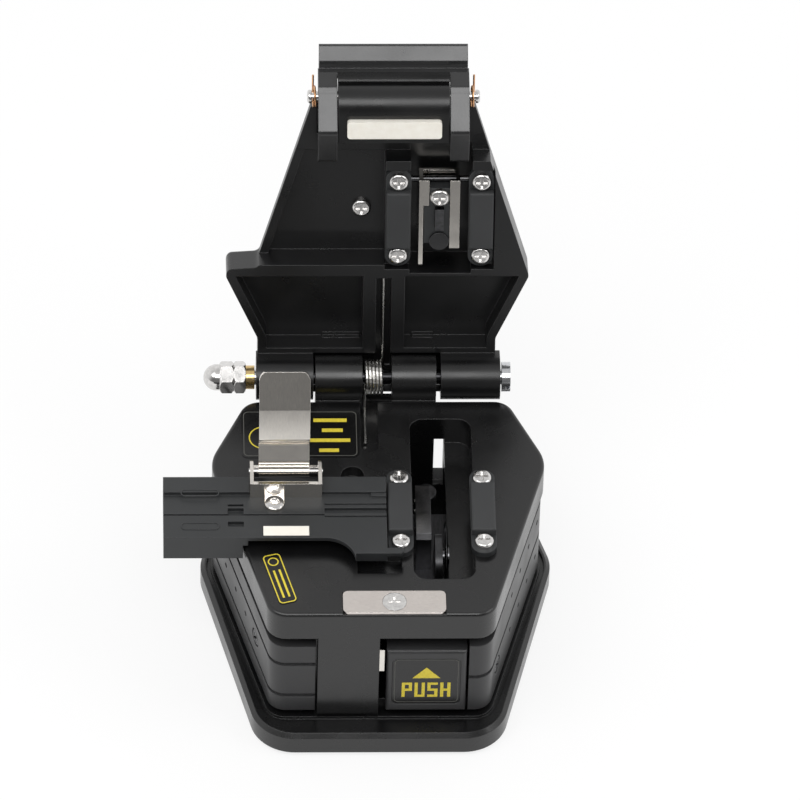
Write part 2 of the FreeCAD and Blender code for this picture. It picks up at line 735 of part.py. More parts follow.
def vents(side):
    """The rows of small round dimples on a cover."""
    rows = {-1: [(16.3, -12.2)], 1: [(22.0, -12.7), (12.6, -13.2)]}
    cuts = []
    for z, first in rows[side]:
        for i in range(4):
            start, inward = side_point(side, first + i * 6.2, z, 1)
            cuts.append(rod(VENT_R, start, inward, 1.6))
    return cuts


def make_side_cover(side):
    """One side cover, with its seams, dimples and countersunk screw."""
    if side < 0:
        half = block(-WAIST_HALF, -COVER_SEAM / 2, 0, BACK_Y, 0, DECK)
        half = half.fuse(block(-WAIST_HALF, COLUMN_LEFT_X, FRONT_Y, 0, 0, DECK))
        seams = [seam(20.4), seam(11.5)]
    else:
        half = block(COVER_SEAM / 2, WAIST_HALF, 0, BACK_Y, 0, DECK)
        half = half.fuse(block(BAY_RIGHT_X, WAIST_HALF, FRONT_Y, 0, 0, DECK))
        seams = [seam(16.6)]
    cover = cover_ring().common(half)
    cover = cover.cut(seams + vents(side) + [key_slot()])
    for start, inward in cover_screw_places(side):
        spot = FreeCAD.Vector(*start) - inward
        cover = cover.cut(rod(PAD_SCREW_R + SCREW_FIT, (spot.x, spot.y, spot.z), inward, 1 + PAD_SCREW_HEAD))
        cover = cover.cut(rod(SCREW_SHANK_R + SCREW_FIT, (spot.x, spot.y, spot.z), inward, COVER_THICK + 2))
    return cover


def make_cover_screws():
    """The screw in each side cover."""
    screws = []
    for side in (-1, 1):
        for start, inward in cover_screw_places(side):
            screw = pan_screw(PAD_SCREW_R, PAD_SCREW_HEAD, SCREW_SHANK_R, COVER_THICK)
            screw.rotate(FreeCAD.Vector(0, 0, 0), Y_DIR, -90 * side)
            turn = math.degrees(math.atan2(inward.y, inward.x)) - (180 if side > 0 else 0)
            screw.rotate(FreeCAD.Vector(0, 0, 0), Z_DIR, turn)
            screw.rotate(FreeCAD.Vector(0, 0, 0), inward, 45)
            screw.rotate(FreeCAD.Vector(0, 0, 0), Z_DIR, 180)
            seat = FreeCAD.Vector(*start) + inward * PAD_SCREW_HEAD
            screws.append(placed(screw, seat.x, seat.y, seat.z))
    return screws


# ---- Strike plate and fibre rests ----

def strike_middle():
    """The strike plate's centre line."""
    return FRONT_Y + STRIKE_EDGE + STRIKE_DEPTH / 2


def make_strike_plate():
    """Steel plate that the lid's magnet holds to."""
    half = STRIKE_WIDTH / 2
    y0 = FRONT_Y + STRIKE_EDGE
    y1 = y0 + STRIKE_DEPTH
    z0 = DECK - STRIKE_THICK / 2
    plate = plan_prism([(STRIKE_X - half, y0), (STRIKE_X + half, y0), (STRIKE_X + half, y1),
                        (STRIKE_X - half, y1)], [1.0] * 4, z0, z0 + STRIKE_THICK)
    sink = Part.makeCone(SCREW_SHANK_R + SCREW_FIT, STRIKE_SCREW_R + SCREW_FIT, STRIKE_THICK,
                         FreeCAD.Vector(STRIKE_X, strike_middle(), z0))
    return plate.cut(sink)


def make_strike_plate_screw():
    """Countersunk cross screw, flush with the strike plate."""
    z0 = DECK - STRIKE_THICK / 2
    middle = FreeCAD.Vector(STRIKE_X, strike_middle(), z0)
    head = Part.makeCone(SCREW_SHANK_R, STRIKE_SCREW_R, STRIKE_THICK, middle)
    reach = PAD_SCREW_R * RECESS_REACH
    top = z0 + STRIKE_THICK
    for x, y in ((reach, RECESS_HALF), (RECESS_HALF, reach)):
        head = head.cut(block(STRIKE_X - x, STRIKE_X + x, middle.y - y, middle.y + y, top - STRIKE_THICK / 2, top))
    shank_length = SCREW_LENGTH - STRIKE_THICK / 2
    return head.fuse(rod(SCREW_SHANK_R, (STRIKE_X, strike_middle(), z0 - shank_length), Z_DIR, shank_length))


def pad_screw_rows():
    """The two screw places along a fibre rest."""
    return (PAD_Y - PAD_SCREW_PITCH / 2, PAD_Y + PAD_SCREW_PITCH / 2)


def pad_holder(x):
    """A round-ended holder lying on z = 0, with its screw holes."""
    half = PAD_WIDTH / 2
    end = PAD_LENGTH / 2
    holder = plan_prism([(x - half, PAD_Y - end), (x + half, PAD_Y - end), (x + half, PAD_Y + end),
                         (x - half, PAD_Y + end)], [half * 0.96] * 4, 0, PAD_THICK)
    for y in pad_screw_rows():
        holder = holder.cut(rod(SCREW_SHANK_R + SCREW_FIT, (x, y, -1), Z_DIR, PAD_THICK + 2))
    return holder


def pad_rubber(x):
    """The raised rubber bar, lying on z = 0."""
    half = PAD_WIDTH / 2 - 0.1
    end = RUBBER_LENGTH / 2
    bar = block(x - half, x + half, PAD_Y - end, PAD_Y + end, 0, RUBBER_RISE)
    return bar.makeFillet(0.4, edges_at_height(bar, RUBBER_RISE))


def pad_screws():
    """The four screws of a pair of rests, seated on z = 0."""
    screw = pan_screw(PAD_SCREW_R, PAD_SCREW_HEAD, SCREW_SHANK_R, PAD_THICK + SCREW_LENGTH - 0.5)
    return [placed(screw, x, y, 0) for x in (PAD_LEFT_X, PAD_RIGHT_X) for y in pad_screw_rows()]


def on_lid(shape, seat_z):
    """A piece drawn upright on z = 0, turned face down onto the shut lid, then opened with it."""
    flipped = shape.copy()
    flipped.rotate(FreeCAD.Vector(0, PAD_Y, 0), X_DIR, 180)
    return opened(placed(flipped, 0, 0, seat_z))


# ---- Fibre guide and clip ----

def make_fibre_guide():
    """Grooved guide with a raised rear rail, a hook over the body's left side and a foot on the deck."""
    under = DECK + GUIDE_GAP
    lip_under = GUIDE_TOP - GUIDE_LIP
    profile = [(GUIDE_FRONT_Y, lip_under), (GUIDE_FRONT_Y + GUIDE_REBATE, lip_under),
               (GUIDE_FRONT_Y + GUIDE_REBATE, under), (RAIL_BACK_Y, under), (RAIL_BACK_Y, RAIL_TOP),
               (RAIL_FRONT_Y, RAIL_TOP), (RAIL_FRONT_Y, GUIDE_TOP), (GUIDE_FRONT_Y, GUIDE_TOP)]
    guide = side_prism(profile, [0] * len(profile), GUIDE_LEFT_X, GUIDE_RIGHT_X)
    hook = block(GUIDE_LEFT_X, HOOK_RIGHT_X, GUIDE_FRONT_Y, RAIL_BACK_Y, GUIDE_TOP - HOOK_DROP, GUIDE_TOP)
    hook = hook.cut(body_prism(FOOT_CLEAR, LIP_UNDER, DECK + GUIDE_GAP))
    pad_front = PAD_Y - PAD_LENGTH / 2 - FOOT_CLEAR
    foot_top = plan_prism([(FOOT_LEFT_X, FOOT_FRONT_Y), (FOOT_RIGHT_X, FOOT_FRONT_Y), (FOOT_RIGHT_X, pad_front),
                           (GUIDE_RIGHT_X, pad_front), (GUIDE_RIGHT_X, RAIL_FRONT_Y), (FOOT_LEFT_X, RAIL_FRONT_Y)],
                          [0.8, 0.8, 0, 0, 0, 0], lip_under, GUIDE_TOP)
    foot = block(FOOT_LEFT_X, GUIDE_RIGHT_X, FOOT_FRONT_Y, RAIL_FRONT_Y, DECK, GUIDE_TOP)
    foot = foot.cut(block(FOOT_LEFT_X - 1, GUIDE_RIGHT_X + 1, FOOT_FRONT_Y - 1, FOOT_FRONT_Y + POCKET_REACH,
                          DECK - 1, DECK + GUIDE_GAP))
    bend = FOOT_LEFT_X - COMB_X
    scoop = block(COMB_X, FOOT_LEFT_X, GUIDE_FRONT_Y - bend, GUIDE_FRONT_Y, lip_under, GUIDE_TOP)
    scoop = scoop.cut(rod(bend, (COMB_X, GUIDE_FRONT_Y - bend, DECK), Z_DIR, GUIDE_RISE + 1))
    tongue = block(CLIP_LEFT_X + 2, CLIP_RIGHT_X, RAIL_FRONT_Y, RAIL_BACK_Y, DECK, under)
    rail_block = block(RAIL_BLOCK_X, GUIDE_RIGHT_X, RAIL_FRONT_Y - RAIL_HEIGHT, RAIL_FRONT_Y, GUIDE_TOP,
                       GUIDE_TOP + RAIL_BLOCK_RISE)
    guide = guide.fuse([hook, foot_top, foot, scoop, tongue, rail_block])
    cuts = [groove(GUIDE_LEFT_X - 1, COMB_X, LEFT_GROOVE_Y, FIBRE_GROOVE, FIBRE_GROOVE),
            groove(COMB_X, GUIDE_RIGHT_X + 1, FIBRE_Y, FIBRE_CHANNEL, 2 * FIBRE_GROOVE),
            groove(COMB_X, GUIDE_RIGHT_X + 1, FIBRE_Y + SIDE_GROOVE_PITCH, FIBRE_GROOVE, FIBRE_GROOVE),
            groove(COMB_X, GUIDE_RIGHT_X + 1, FIBRE_Y - SIDE_GROOVE_PITCH, FIBRE_GROOVE, FIBRE_GROOVE)]
    for y0, y1 in GUIDE_NOTCH_ROWS:
        cuts.append(groove(GUIDE_NOTCH_X, GUIDE_NOTCH_X + GUIDE_NOTCH, (y0 + y1) / 2, y1 - y0, GUIDE_LIP))
    cuts.append(block(MAGNET_X - SCREW_FIT, MAGNET_X + MAGNET_LENGTH + SCREW_FIT, MAGNET_Y - SCREW_FIT,
                      MAGNET_Y + MAGNET_WIDTH + SCREW_FIT, GUIDE_TOP - MAGNET_SINK, GUIDE_TOP + 1))
    cuts += clip_sockets()
    return guide.cut(cuts)


def groove(x0, x1, y, width, depth):
    """A groove along X in the guide's top."""
    return block(x0, x1, y - width / 2, y + width / 2, GUIDE_TOP - depth, GUIDE_TOP + 1)


def clip_sockets():
    """Slots in the guide's rail for the clip bracket's cheeks, and the relief under its leaf."""
    slots = [block(CLIP_LEFT_X, CLIP_RIGHT_X, RAIL_FRONT_Y - 1 - CLIP_SHEET, RAIL_BACK_Y + 1,
                   RAIL_TOP - 0.4, RAIL_TOP + 1)]
    for x in (CLIP_LEFT_X, CLIP_RIGHT_X - CLIP_SHEET):
        slots.append(block(x - SCREW_FIT, x + CLIP_SHEET + SCREW_FIT, RAIL_FRONT_Y - CLIP_SHEET, RAIL_BACK_Y + 1,
                           GUIDE_TOP, RAIL_TOP + 1))
    x, y, z = bracket_screw_place()
    slots.append(rod(BRACKET_SHANK_R + SCREW_FIT, (x, y, GUIDE_TOP - BRACKET_SHANK), Z_DIR, BRACKET_SHANK + 1))
    return slots


def make_guide_magnet():
    """Bright magnet bar let into the guide."""
    return block(MAGNET_X, MAGNET_X + MAGNET_LENGTH, MAGNET_Y, MAGNET_Y + MAGNET_WIDTH,
                 GUIDE_TOP - MAGNET_SINK, GUIDE_TOP)


def bracket_screw_place():
    """The seat of the hex-socket screw on the bracket's front tab."""
    return (BRACKET_SCREW_X, BRACKET_SCREW_Y, GUIDE_TOP + CLIP_SHEET)


def make_clip_bracket():
    """Bent steel frame that straddles the guide's rail and carries the clip's pin."""
    front_top = GUIDE_TOP + CLIP_FRONT_HEIGHT
    cheek_top = CLIP_PIN_Z + 1.0
    cheek = [(CLIP_FRONT_Y, GUIDE_TOP), (CLIP_BACK_Y, GUIDE_TOP), (CLIP_BACK_Y, cheek_top),
             (CLIP_PIN_Y - 1.2, cheek_top), (CLIP_FRONT_Y, front_top)]
    pieces = []
    for x in (CLIP_LEFT_X, CLIP_RIGHT_X - CLIP_SHEET):
        pieces.append(side_prism(cheek, [0, 0, 0.6, 0.6, 0], x, x + CLIP_SHEET))
    front = block(CLIP_LEFT_X, CLIP_RIGHT_X, CLIP_FRONT_Y, RAIL_FRONT_Y, GUIDE_TOP, front_top)
    tab_top = CLIP_PIN_Z - 0.6
    for x0, x1 in ((CLIP_LEFT_X, CLIP_LEFT_X + 3.0), (CLIP_RIGHT_X - 3.0, CLIP_RIGHT_X)):
        pieces.append(block(x0, x1, CLIP_BACK_Y - CLIP_SHEET, CLIP_BACK_Y, GUIDE_TOP, tab_top))
    x, y, z = bracket_screw_place()
    tab = block(x - BRACKET_SCREW_R, x + BRACKET_SCREW_R, y, RAIL_FRONT_Y, GUIDE_TOP, z)
    pieces += [tab, rod(BRACKET_SCREW_R, (x, y, GUIDE_TOP), Z_DIR, CLIP_SHEET)]
    bracket = front.fuse(pieces).removeSplitter()
    bracket = bracket.cut(rod(BRACKET_SHANK_R + SCREW_FIT, (x, y, GUIDE_TOP - 1), Z_DIR, CLIP_SHEET + 2))
    return bracket.cut(rod(CLIP_PIN_R + SCREW_FIT, (CLIP_LEFT_X - 1, CLIP_PIN_Y, CLIP_PIN_Z), X_DIR,
                           CLIP_WIDTH + 2))


def make_bracket_screw():
    """Button-head hex-socket screw."""
    head = rod(BRACKET_SCREW_R, (0, 0, 0), Z_DIR, BRACKET_SCREW_HEAD)
    head = head.makeFillet(BRACKET_SCREW_HEAD * 0.7, edges_at_height(head, BRACKET_SCREW_HEAD))
    points = [FreeCAD.Vector(SOCKET_R * math.cos(math.radians(60 * i)), SOCKET_R * math.sin(math.radians(60 * i)),
                             BRACKET_SCREW_HEAD - SOCKET_DEPTH) for i in range(7)]
    socket = Part.Face(Part.Wire(Part.makePolygon(points))).extrude(Z_DIR)
    length = BRACKET_SHANK + CLIP_SHEET - SCREW_FIT
    screw = head.cut(socket).fuse(rod(BRACKET_SHANK_R, (0, 0, -length), Z_DIR, length))
    return placed(screw, *bracket_screw_place())


def make_clip_pin():
    """Pin through the bracket's cheeks."""
    return rod(CLIP_PIN_R, (CLIP_LEFT_X - 0.2, CLIP_PIN_Y, CLIP_PIN_Z), X_DIR, CLIP_WIDTH + 0.4)


def make_clip_leaf():
    """Bent steel leaf, curled round its pin, drawn shut and then stood open."""
    x0 = (CLIP_LEFT_X + CLIP_RIGHT_X - LEAF_WIDTH) / 2 - LEAF_OFFSET
    x1 = x0 + LEAF_WIDTH
    curl_r = CLIP_PIN_R + RUN_FIT + LEAF_THICK
    top = CLIP_PIN_Z + curl_r - LEAF_THICK / 2
    low = GUIDE_TOP + PAD_NIP + LEAF_THICK / 2
    tip_y = CLIP_PIN_Y - LEAF_REACH
    path = [(CLIP_PIN_Y, top), (CLIP_PIN_Y - LEAF_STEP, top + 0.25), (CLIP_PIN_Y - LEAF_SEAT, low),
            (CLIP_PIN_Y - LEAF_TAB, low), (tip_y, low + LEAF_TAB_RISE)]
    leaf = bent_strip(path, LEAF_THICK, LEAF_BEND_R, x0, x1)
    leaf = leaf.fuse(rod(curl_r, (x0, CLIP_PIN_Y, CLIP_PIN_Z), X_DIR, LEAF_WIDTH))
    leaf = leaf.cut(rod(CLIP_PIN_R + RUN_FIT, (x0 - 1, CLIP_PIN_Y, CLIP_PIN_Z), X_DIR, LEAF_WIDTH + 2))
    corner = LEAF_CORNER_R
    plan = plan_prism([(x0, tip_y - 1), (x1, tip_y - 1), (x1, CLIP_PIN_Y + 3), (x0, CLIP_PIN_Y + 3)],
                      [corner, corner, 0, 0], DECK, CLIP_PIN_Z + 5)
    plan.translate(Y_DIR * 0.75)
    return opened_clip(leaf.common(plan))


# ---- Hinge ----

def make_hinge_bolt():
    """Slotted bolt that the lid turns on."""
    head_x = LID_RIGHT_END + END_PLAY
    left_x = LID_LEFT_END - END_PLAY - BUSH_LENGTH - HEX_NUT - ACORN_NUT
    bolt = rod(BOLT_R, (left_x, HINGE_Y, HINGE_Z), X_DIR, head_x - left_x)
    head = rod(BOLT_HEAD_R, (head_x, HINGE_Y, HINGE_Z), X_DIR, BOLT_HEAD)
    slot = block(head_x + BOLT_HEAD * 0.5, head_x + BOLT_HEAD + 1, HINGE_Y - BOLT_HEAD_R, HINGE_Y + BOLT_HEAD_R,
                 HINGE_Z - 0.4, HINGE_Z + 0.4)
    return bolt.fuse(head.cut(slot))


def make_brass_bush():
    """Brass bush outside the lid's left knuckle."""
    x = LID_LEFT_END - END_PLAY - BUSH_LENGTH
    bush = rod(BUSH_R, (x, HINGE_Y, HINGE_Z), X_DIR, BUSH_LENGTH)
    return bush.cut(rod(BOLT_R, (x - 1, HINGE_Y, HINGE_Z), X_DIR, BUSH_LENGTH + 2))


def hexagon(flats, x, length):
    """A hexagonal bar on the hinge line."""
    radius = flats / math.sqrt(3)
    points = [FreeCAD.Vector(x, HINGE_Y + radius * math.cos(math.radians(60 * i + 30)),
                             HINGE_Z + radius * math.sin(math.radians(60 * i + 30))) for i in range(7)]
    return Part.Face(Part.Wire(Part.makePolygon(points))).extrude(X_DIR * length)


def chamfered_nut(x, length):
    """A hexagon with its corners turned off."""
    radius = NUT_FLATS / math.sqrt(3)
    bevel = radius - NUT_FLATS / 2
    round_off = rod(radius, (x, HINGE_Y, HINGE_Z), X_DIR, length)
    ends = [edge for edge in round_off.Edges if edge.Curve.TypeId == "Part::GeomCircle"]
    return hexagon(NUT_FLATS, x, length).common(round_off.makeChamfer(bevel, ends))


def make_hex_nut():
    """Lock nut next to the bush."""
    x = LID_LEFT_END - END_PLAY - BUSH_LENGTH - HEX_NUT
    return chamfered_nut(x, HEX_NUT).cut(rod(BOLT_R, (x - 1, HINGE_Y, HINGE_Z), X_DIR, HEX_NUT + 2))


def make_acorn_nut():
    """Domed cap nut on the bolt's end."""
    x = LID_LEFT_END - END_PLAY - BUSH_LENGTH - HEX_NUT - ACORN_NUT
    neck = rod(ACORN_DOME_R, (x - 0.6, HINGE_Y, HINGE_Z), X_DIR, 0.7)
    dome = Part.makeSphere(ACORN_DOME_R, FreeCAD.Vector(x - 0.6, HINGE_Y, HINGE_Z))
    bore = rod(BOLT_R, (x, HINGE_Y, HINGE_Z), X_DIR, ACORN_NUT + 1)
    return chamfered_nut(x, ACORN_NUT).fuse([neck, dome]).cut(bore)


def make_lid_spring():
    """Torsion spring on the bolt, one arm in the deck's notch and one in the lid's channel."""
    wire_r = SPRING_WIRE / 2
    length = LID_SPRING_TURNS * (SPRING_WIRE + 0.03)
    start_x = SPRING_ROOM_X + wire_r + 0.1
    coil = along_x(helix_spring(LID_SPRING_R, wire_r, length, LID_SPRING_TURNS))
    coil = placed(coil, start_x, HINGE_Y, HINGE_Z)
    lower = rod(wire_r, (start_x, HINGE_Y, HINGE_Z - LID_SPRING_R), Y_DIR * -1,
                HINGE_Y - BACK_Y + NOTCH_LENGTH - NOTCH_WIDTH)
    y, z = lid_yz(0, LID_SPRING_R)
    upper = opened(rod(wire_r, (start_x + length - wire_r, y, z), Y_DIR * -1, LID_WAIST - 1))
    return [coil, lower, upper]


# ---- Cutting carriage ----

def make_slide_rail():
    """Steel strip on the bay's left wall that the carriage runs along."""
    return block(BAY_LEFT_X, BAY_LEFT_X + RAIL_THICK, FRONT_Y + 0.5, WELL_BACK_Y,
                 SLIDE_RAIL_Z, SLIDE_RAIL_Z + SLIDE_RAIL_HEIGHT)


def make_push_button():
    """Front of the carriage, pushed to cut, with a shallow label recess."""
    button = block(BUTTON_LEFT_X, BUTTON_RIGHT_X, FRONT_Y, BUTTON_BACK_Y, BUTTON_FOOT, BUTTON_TOP)
    front = [edge for edge in button.Edges if abs(edge.BoundBox.YMax - FRONT_Y) < 1e-4]
    button = button.makeFillet(0.8, front)
    middle_x = (BUTTON_LEFT_X + BUTTON_RIGHT_X) / 2
    middle_z = (BUTTON_FOOT + BUTTON_TOP) / 2
    half = LABEL_SIZE / 2
    points = [FreeCAD.Vector(middle_x + x * half, FRONT_Y - 1, middle_z + z * half)
              for x, z in ((-1, -1), (1, -1), (1, 1), (-1, 1))]
    recess = rounded_face(points, [1.2] * 4).extrude(Y_DIR * (1 + LABEL_DEPTH))
    return button.cut(recess)


def cheek_range():
    """The X range of the cheek that carries the blade on its right side."""
    right = BLADE_X - BLADE_THICK / 2 - BLADE_GAP
    return (right - CHEEK_THICK, right)


def make_carriage():
    """Metal carriage with a blade slot, a bearing cheek and a pocket for the return spring."""
    carriage = block(BUTTON_LEFT_X, BUTTON_RIGHT_X, BUTTON_BACK_Y, CARRIAGE_BACK_Y, BUTTON_FOOT, BUTTON_TOP)
    top = BUTTON_TOP + CHEEK_RISE
    outline = [(BLADE_Y - CHEEK_LENGTH / 2, BUTTON_TOP), (BLADE_Y + CHEEK_LENGTH / 2, BUTTON_TOP),
               (BLADE_Y + CHEEK_LENGTH / 3, top), (BLADE_Y - CHEEK_LENGTH / 3, top)]
    carriage = carriage.fuse(side_prism(outline, [0, 0, 2.5, 2.5], *cheek_range()))
    well = BLADE_R + BLADE_GAP
    carriage = carriage.cut(block(BLADE_X - BLADE_THICK / 2 - BLADE_GAP, BLADE_X + BLADE_THICK / 2 + BLADE_GAP,
                                  BLADE_Y - well, BLADE_Y + well, AXLE_Z - well, BUTTON_TOP + 1))
    carriage = carriage.cut(rod(AXLE_R, (BUTTON_LEFT_X, BLADE_Y, AXLE_Z), X_DIR, BAY_WIDTH))
    x, z = return_spring_axis()
    carriage = carriage.cut(rod(RETURN_SPRING_R + 0.8, (x, CARRIAGE_BACK_Y - RETURN_POCKET, z), Y_DIR,
                                RETURN_POCKET + 1))
    return carriage


def make_blade_axle():
    """Shouldered screw in the cheek that the blade turns on."""
    left = cheek_range()[0]
    right = BLADE_X + BLADE_THICK / 2 + RUN_FIT
    head = rod(AXLE_HEAD_R, (right, BLADE_Y, AXLE_Z), X_DIR, AXLE_HEAD)
    return rod(AXLE_R, (left, BLADE_Y, AXLE_Z), X_DIR, right - left).fuse(head)


def make_blade_wheel():
    """Round carbide blade, bevelled to its edge."""
    outline = [(0, AXLE_R + RUN_FIT), (0, BLADE_R - 0.8), (BLADE_THICK / 2, BLADE_R),
               (BLADE_THICK, BLADE_R - 0.8), (BLADE_THICK, AXLE_R + RUN_FIT)]
    points = [FreeCAD.Vector(BLADE_X - BLADE_THICK / 2 + x, BLADE_Y, AXLE_Z + r) for x, r in outline]
    face = rounded_face(points, [0] * len(points))
    return face.revolve(FreeCAD.Vector(0, BLADE_Y, AXLE_Z), X_DIR, 360)


def make_ramp_bar():
    """Ramp beside the blade that lifts the anvil arm's follower."""
    top = DECK - RAMP_BELOW_DECK
    y0 = RAMP_FRONT_Y
    y1 = RAMP_FRONT_Y + RAMP_LENGTH
    outline = [(y0, BUTTON_TOP), (y1, BUTTON_TOP), (y1, top), (y0 + RAMP_BEVEL, top), (y0, top - RAMP_BEVEL)]
    bar = side_prism(outline, [0, 0, RAMP_BEVEL, 0, 0], RAMP_X, RAMP_X + RAMP_THICK)
    x, y, z = ramp_roller_seat()
    room = rod(RAMP_ROLLER_R + SCREW_FIT, (x, y, z - RUN_FIT), Z_DIR, RAMP_ROLLER_THICK + 2 * RUN_FIT)
    return bar.cut([room, rod(AXLE_R / 2, (x, y, z - RAMP_ROLLER_R), Z_DIR, RAMP_ROLLER_R)])


def ramp_roller_seat():
    """Middle of the roller's lower face, under the ramp's rear end."""
    y = RAMP_FRONT_Y + RAMP_LENGTH - RAMP_ROLLER_R
    return (RAMP_ROLLER_X, y, DECK - RAMP_BELOW_DECK - RAMP_ROLLER_UNDER - RAMP_ROLLER_THICK)


def make_ramp_roller():
    """Roller let into the ramp's rear end, on its own pin."""
    x, y, z = ramp_roller_seat()
    disc = rod(RAMP_ROLLER_R, (x, y, z), Z_DIR, RAMP_ROLLER_THICK)
    return disc.fuse(rod(AXLE_R / 2, (x, y, z - RAMP_ROLLER_R), Z_DIR, RAMP_ROLLER_R))


def return_spring_axis():
    """The return spring's axis, in X and Z."""
    return (BUTTON_LEFT_X + RETURN_SPRING_R + 2.2, BUTTON_FOOT + RETURN_SPRING_R + 3.0)


def make_return_spring():
    """Compression spring between the carriage and the bay's back wall."""
    x, z = return_spring_axis()
    start = CARRIAGE_BACK_Y - RETURN_POCKET + RETURN_WIRE / 2
    length = WELL_BACK_Y - RETURN_WIRE / 2 - start
    spring = helix_spring(RETURN_SPRING_R, RETURN_WIRE / 2, length, RETURN_TURNS)
    spring.rotate(FreeCAD.Vector(0, 0, 0), X_DIR, -90)
    return placed(spring, x, start, z)


# ---- Lid ----

def lid_plan(inset, h0, h1):
    """The lid's plan with its left ear, drawn in by inset."""
    outline = [(-LID_TAIL_HALF, -KNUCKLE_R), (-LID_TAIL_HALF, LID_TAIL), (-LID_WAIST_HALF, LID_WAIST),
               (-LID_WAIST_HALF + 0.3, LID_EAR_FRONT), (LID_EAR_NECK_X, LID_EAR_FRONT + 0.4),
               (LID_FRONT_LEFT_X, LID_FRONT),
               (LID_FRONT_RIGHT_X, LID_FRONT), (LID_WAIST_HALF, LID_WAIST), (LID_TAIL_HALF, LID_TAIL),
               (LID_TAIL_HALF, -KNUCKLE_R)]
    points = [FreeCAD.Vector(x, HINGE_Y - d, HINGE_Z + h0) for x, d in outline]
    face = rounded_face(points, [0, 2, 1.5, 1.2, 1.4, 1, 1, 1.5, 2, 0])
    if inset:
        face = face.makeOffset2D(-inset)
    return face.extrude(Z_DIR * (h1 - h0))


def lid_knuckle(x0, length):
    """A knuckle under the lid's tail, webbed up into it."""
    knuckle = rod(KNUCKLE_R, (x0, HINGE_Y, HINGE_Z), X_DIR, length)
    return knuckle.fuse(lid_block(x0, x0 + length, -KNUCKLE_R, KNUCKLE_R, 0, LID_UNDER + 1))


def lid_nose():
    """The rounded nose between the lever's arms that holds the magnet."""
    y, z = lid_yz(NOSE_CENTRE, NOSE_RISE)
    nose = rod(NOSE_R, (NOSE_X, y, z), X_DIR, NOSE_WIDTH)
    back = lid_block(NOSE_X, NOSE_RIGHT_X, NOSE_BACK, NOSE_CENTRE, NOSE_UNDER, LID_EDGE_TOP)
    return nose.fuse(back)


def lid_cuts():
    """Everything hollowed out of the lid's underside."""
    top = LID_UNDER
    room = lid_plan(LID_RIM, LID_UNDER - 1, LID_UNDER + LID_ROOM_DEPTH)
    room = room.common(lid_block(-LID_WAIST_HALF, LID_WAIST_HALF, KNUCKLE_R + 1.2, LID_WAIST, top - 1,
                                 top + LID_ROOM_DEPTH))
    room = room.cut(lid_block(LID_RIB_LEFT_X, LID_RIB_RIGHT_X, 0, LID_WAIST, top, top + LID_ROOM_DEPTH))
    channel = lid_block(LID_CHANNEL_X, LID_CHANNEL_X + LID_CHANNEL, 0, LID_WAIST - 0.5, top - 1, top + 3.2)
    panel_right = PAD_LEFT_X - PAD_WIDTH / 2 - 0.1
    panel = lid_block(-LID_WAIST_HALF, panel_right, LID_PANEL_BACK, LID_STEP, top - 1, top + LID_PANEL_DEPTH)
    rim_room = lid_block(-LID_WAIST_HALF, panel_right, LID_PANEL_BACK, LID_STEP, top - 1, top + LID_RIM_LIFT)
    panel = panel.common(lid_plan(LID_RIM, top - 1, top + LID_PANEL_DEPTH)).fuse(rim_room)
    front = lid_block(-LID_WAIST_HALF, LID_WAIST_HALF, LID_STEP, LID_FRONT + 1, top - 1, top + LID_STEP_DEPTH)
    front = front.cut(lid_nose())
    well = lid_block(WELL_X - 0.1, WELL_X + WELL_WIDTH - 0.1, LID_WELL_BACK, LID_STEP + 1.5, top - 1,
                     top + LID_WELL_DEPTH)
    cuts = [room, channel, panel, front, well]
    pad_half = PAD_LENGTH / 2 + 0.2
    pad_d = HINGE_Y - PAD_Y
    for x in (PAD_LEFT_X, PAD_RIGHT_X):
        cuts.append(lid_block(x - PAD_WIDTH / 2 - 0.1, x + PAD_WIDTH / 2 + 0.15, pad_d - pad_half,
                              pad_d + pad_half, top - 1, LID_SEAT))
        for y in pad_screw_rows():
            cuts.append(rod(SCREW_SHANK_R + SCREW_FIT, (x, y, HINGE_Z + LID_SEAT - 1), Z_DIR, SCREW_LENGTH + 1))
    return cuts


def stop_pads():
    """Flat pads on the lid's tail that meet the body's knuckles when it stands open."""
    floor = LID_UNDER + LID_ROOM_DEPTH
    pads = []
    for x0, x1 in ((BASE_LEFT_X + 1.4, SPRING_ROOM_X - 0.4), (BASE_RIGHT_END - 4.6, BASE_RIGHT_END - 0.5)):
        pads.append(lid_block(x0, x1, STOP_PAD_BACK, STOP_PAD_FRONT, floor - STOP_PAD_DEPTH, floor + 1))
    return pads


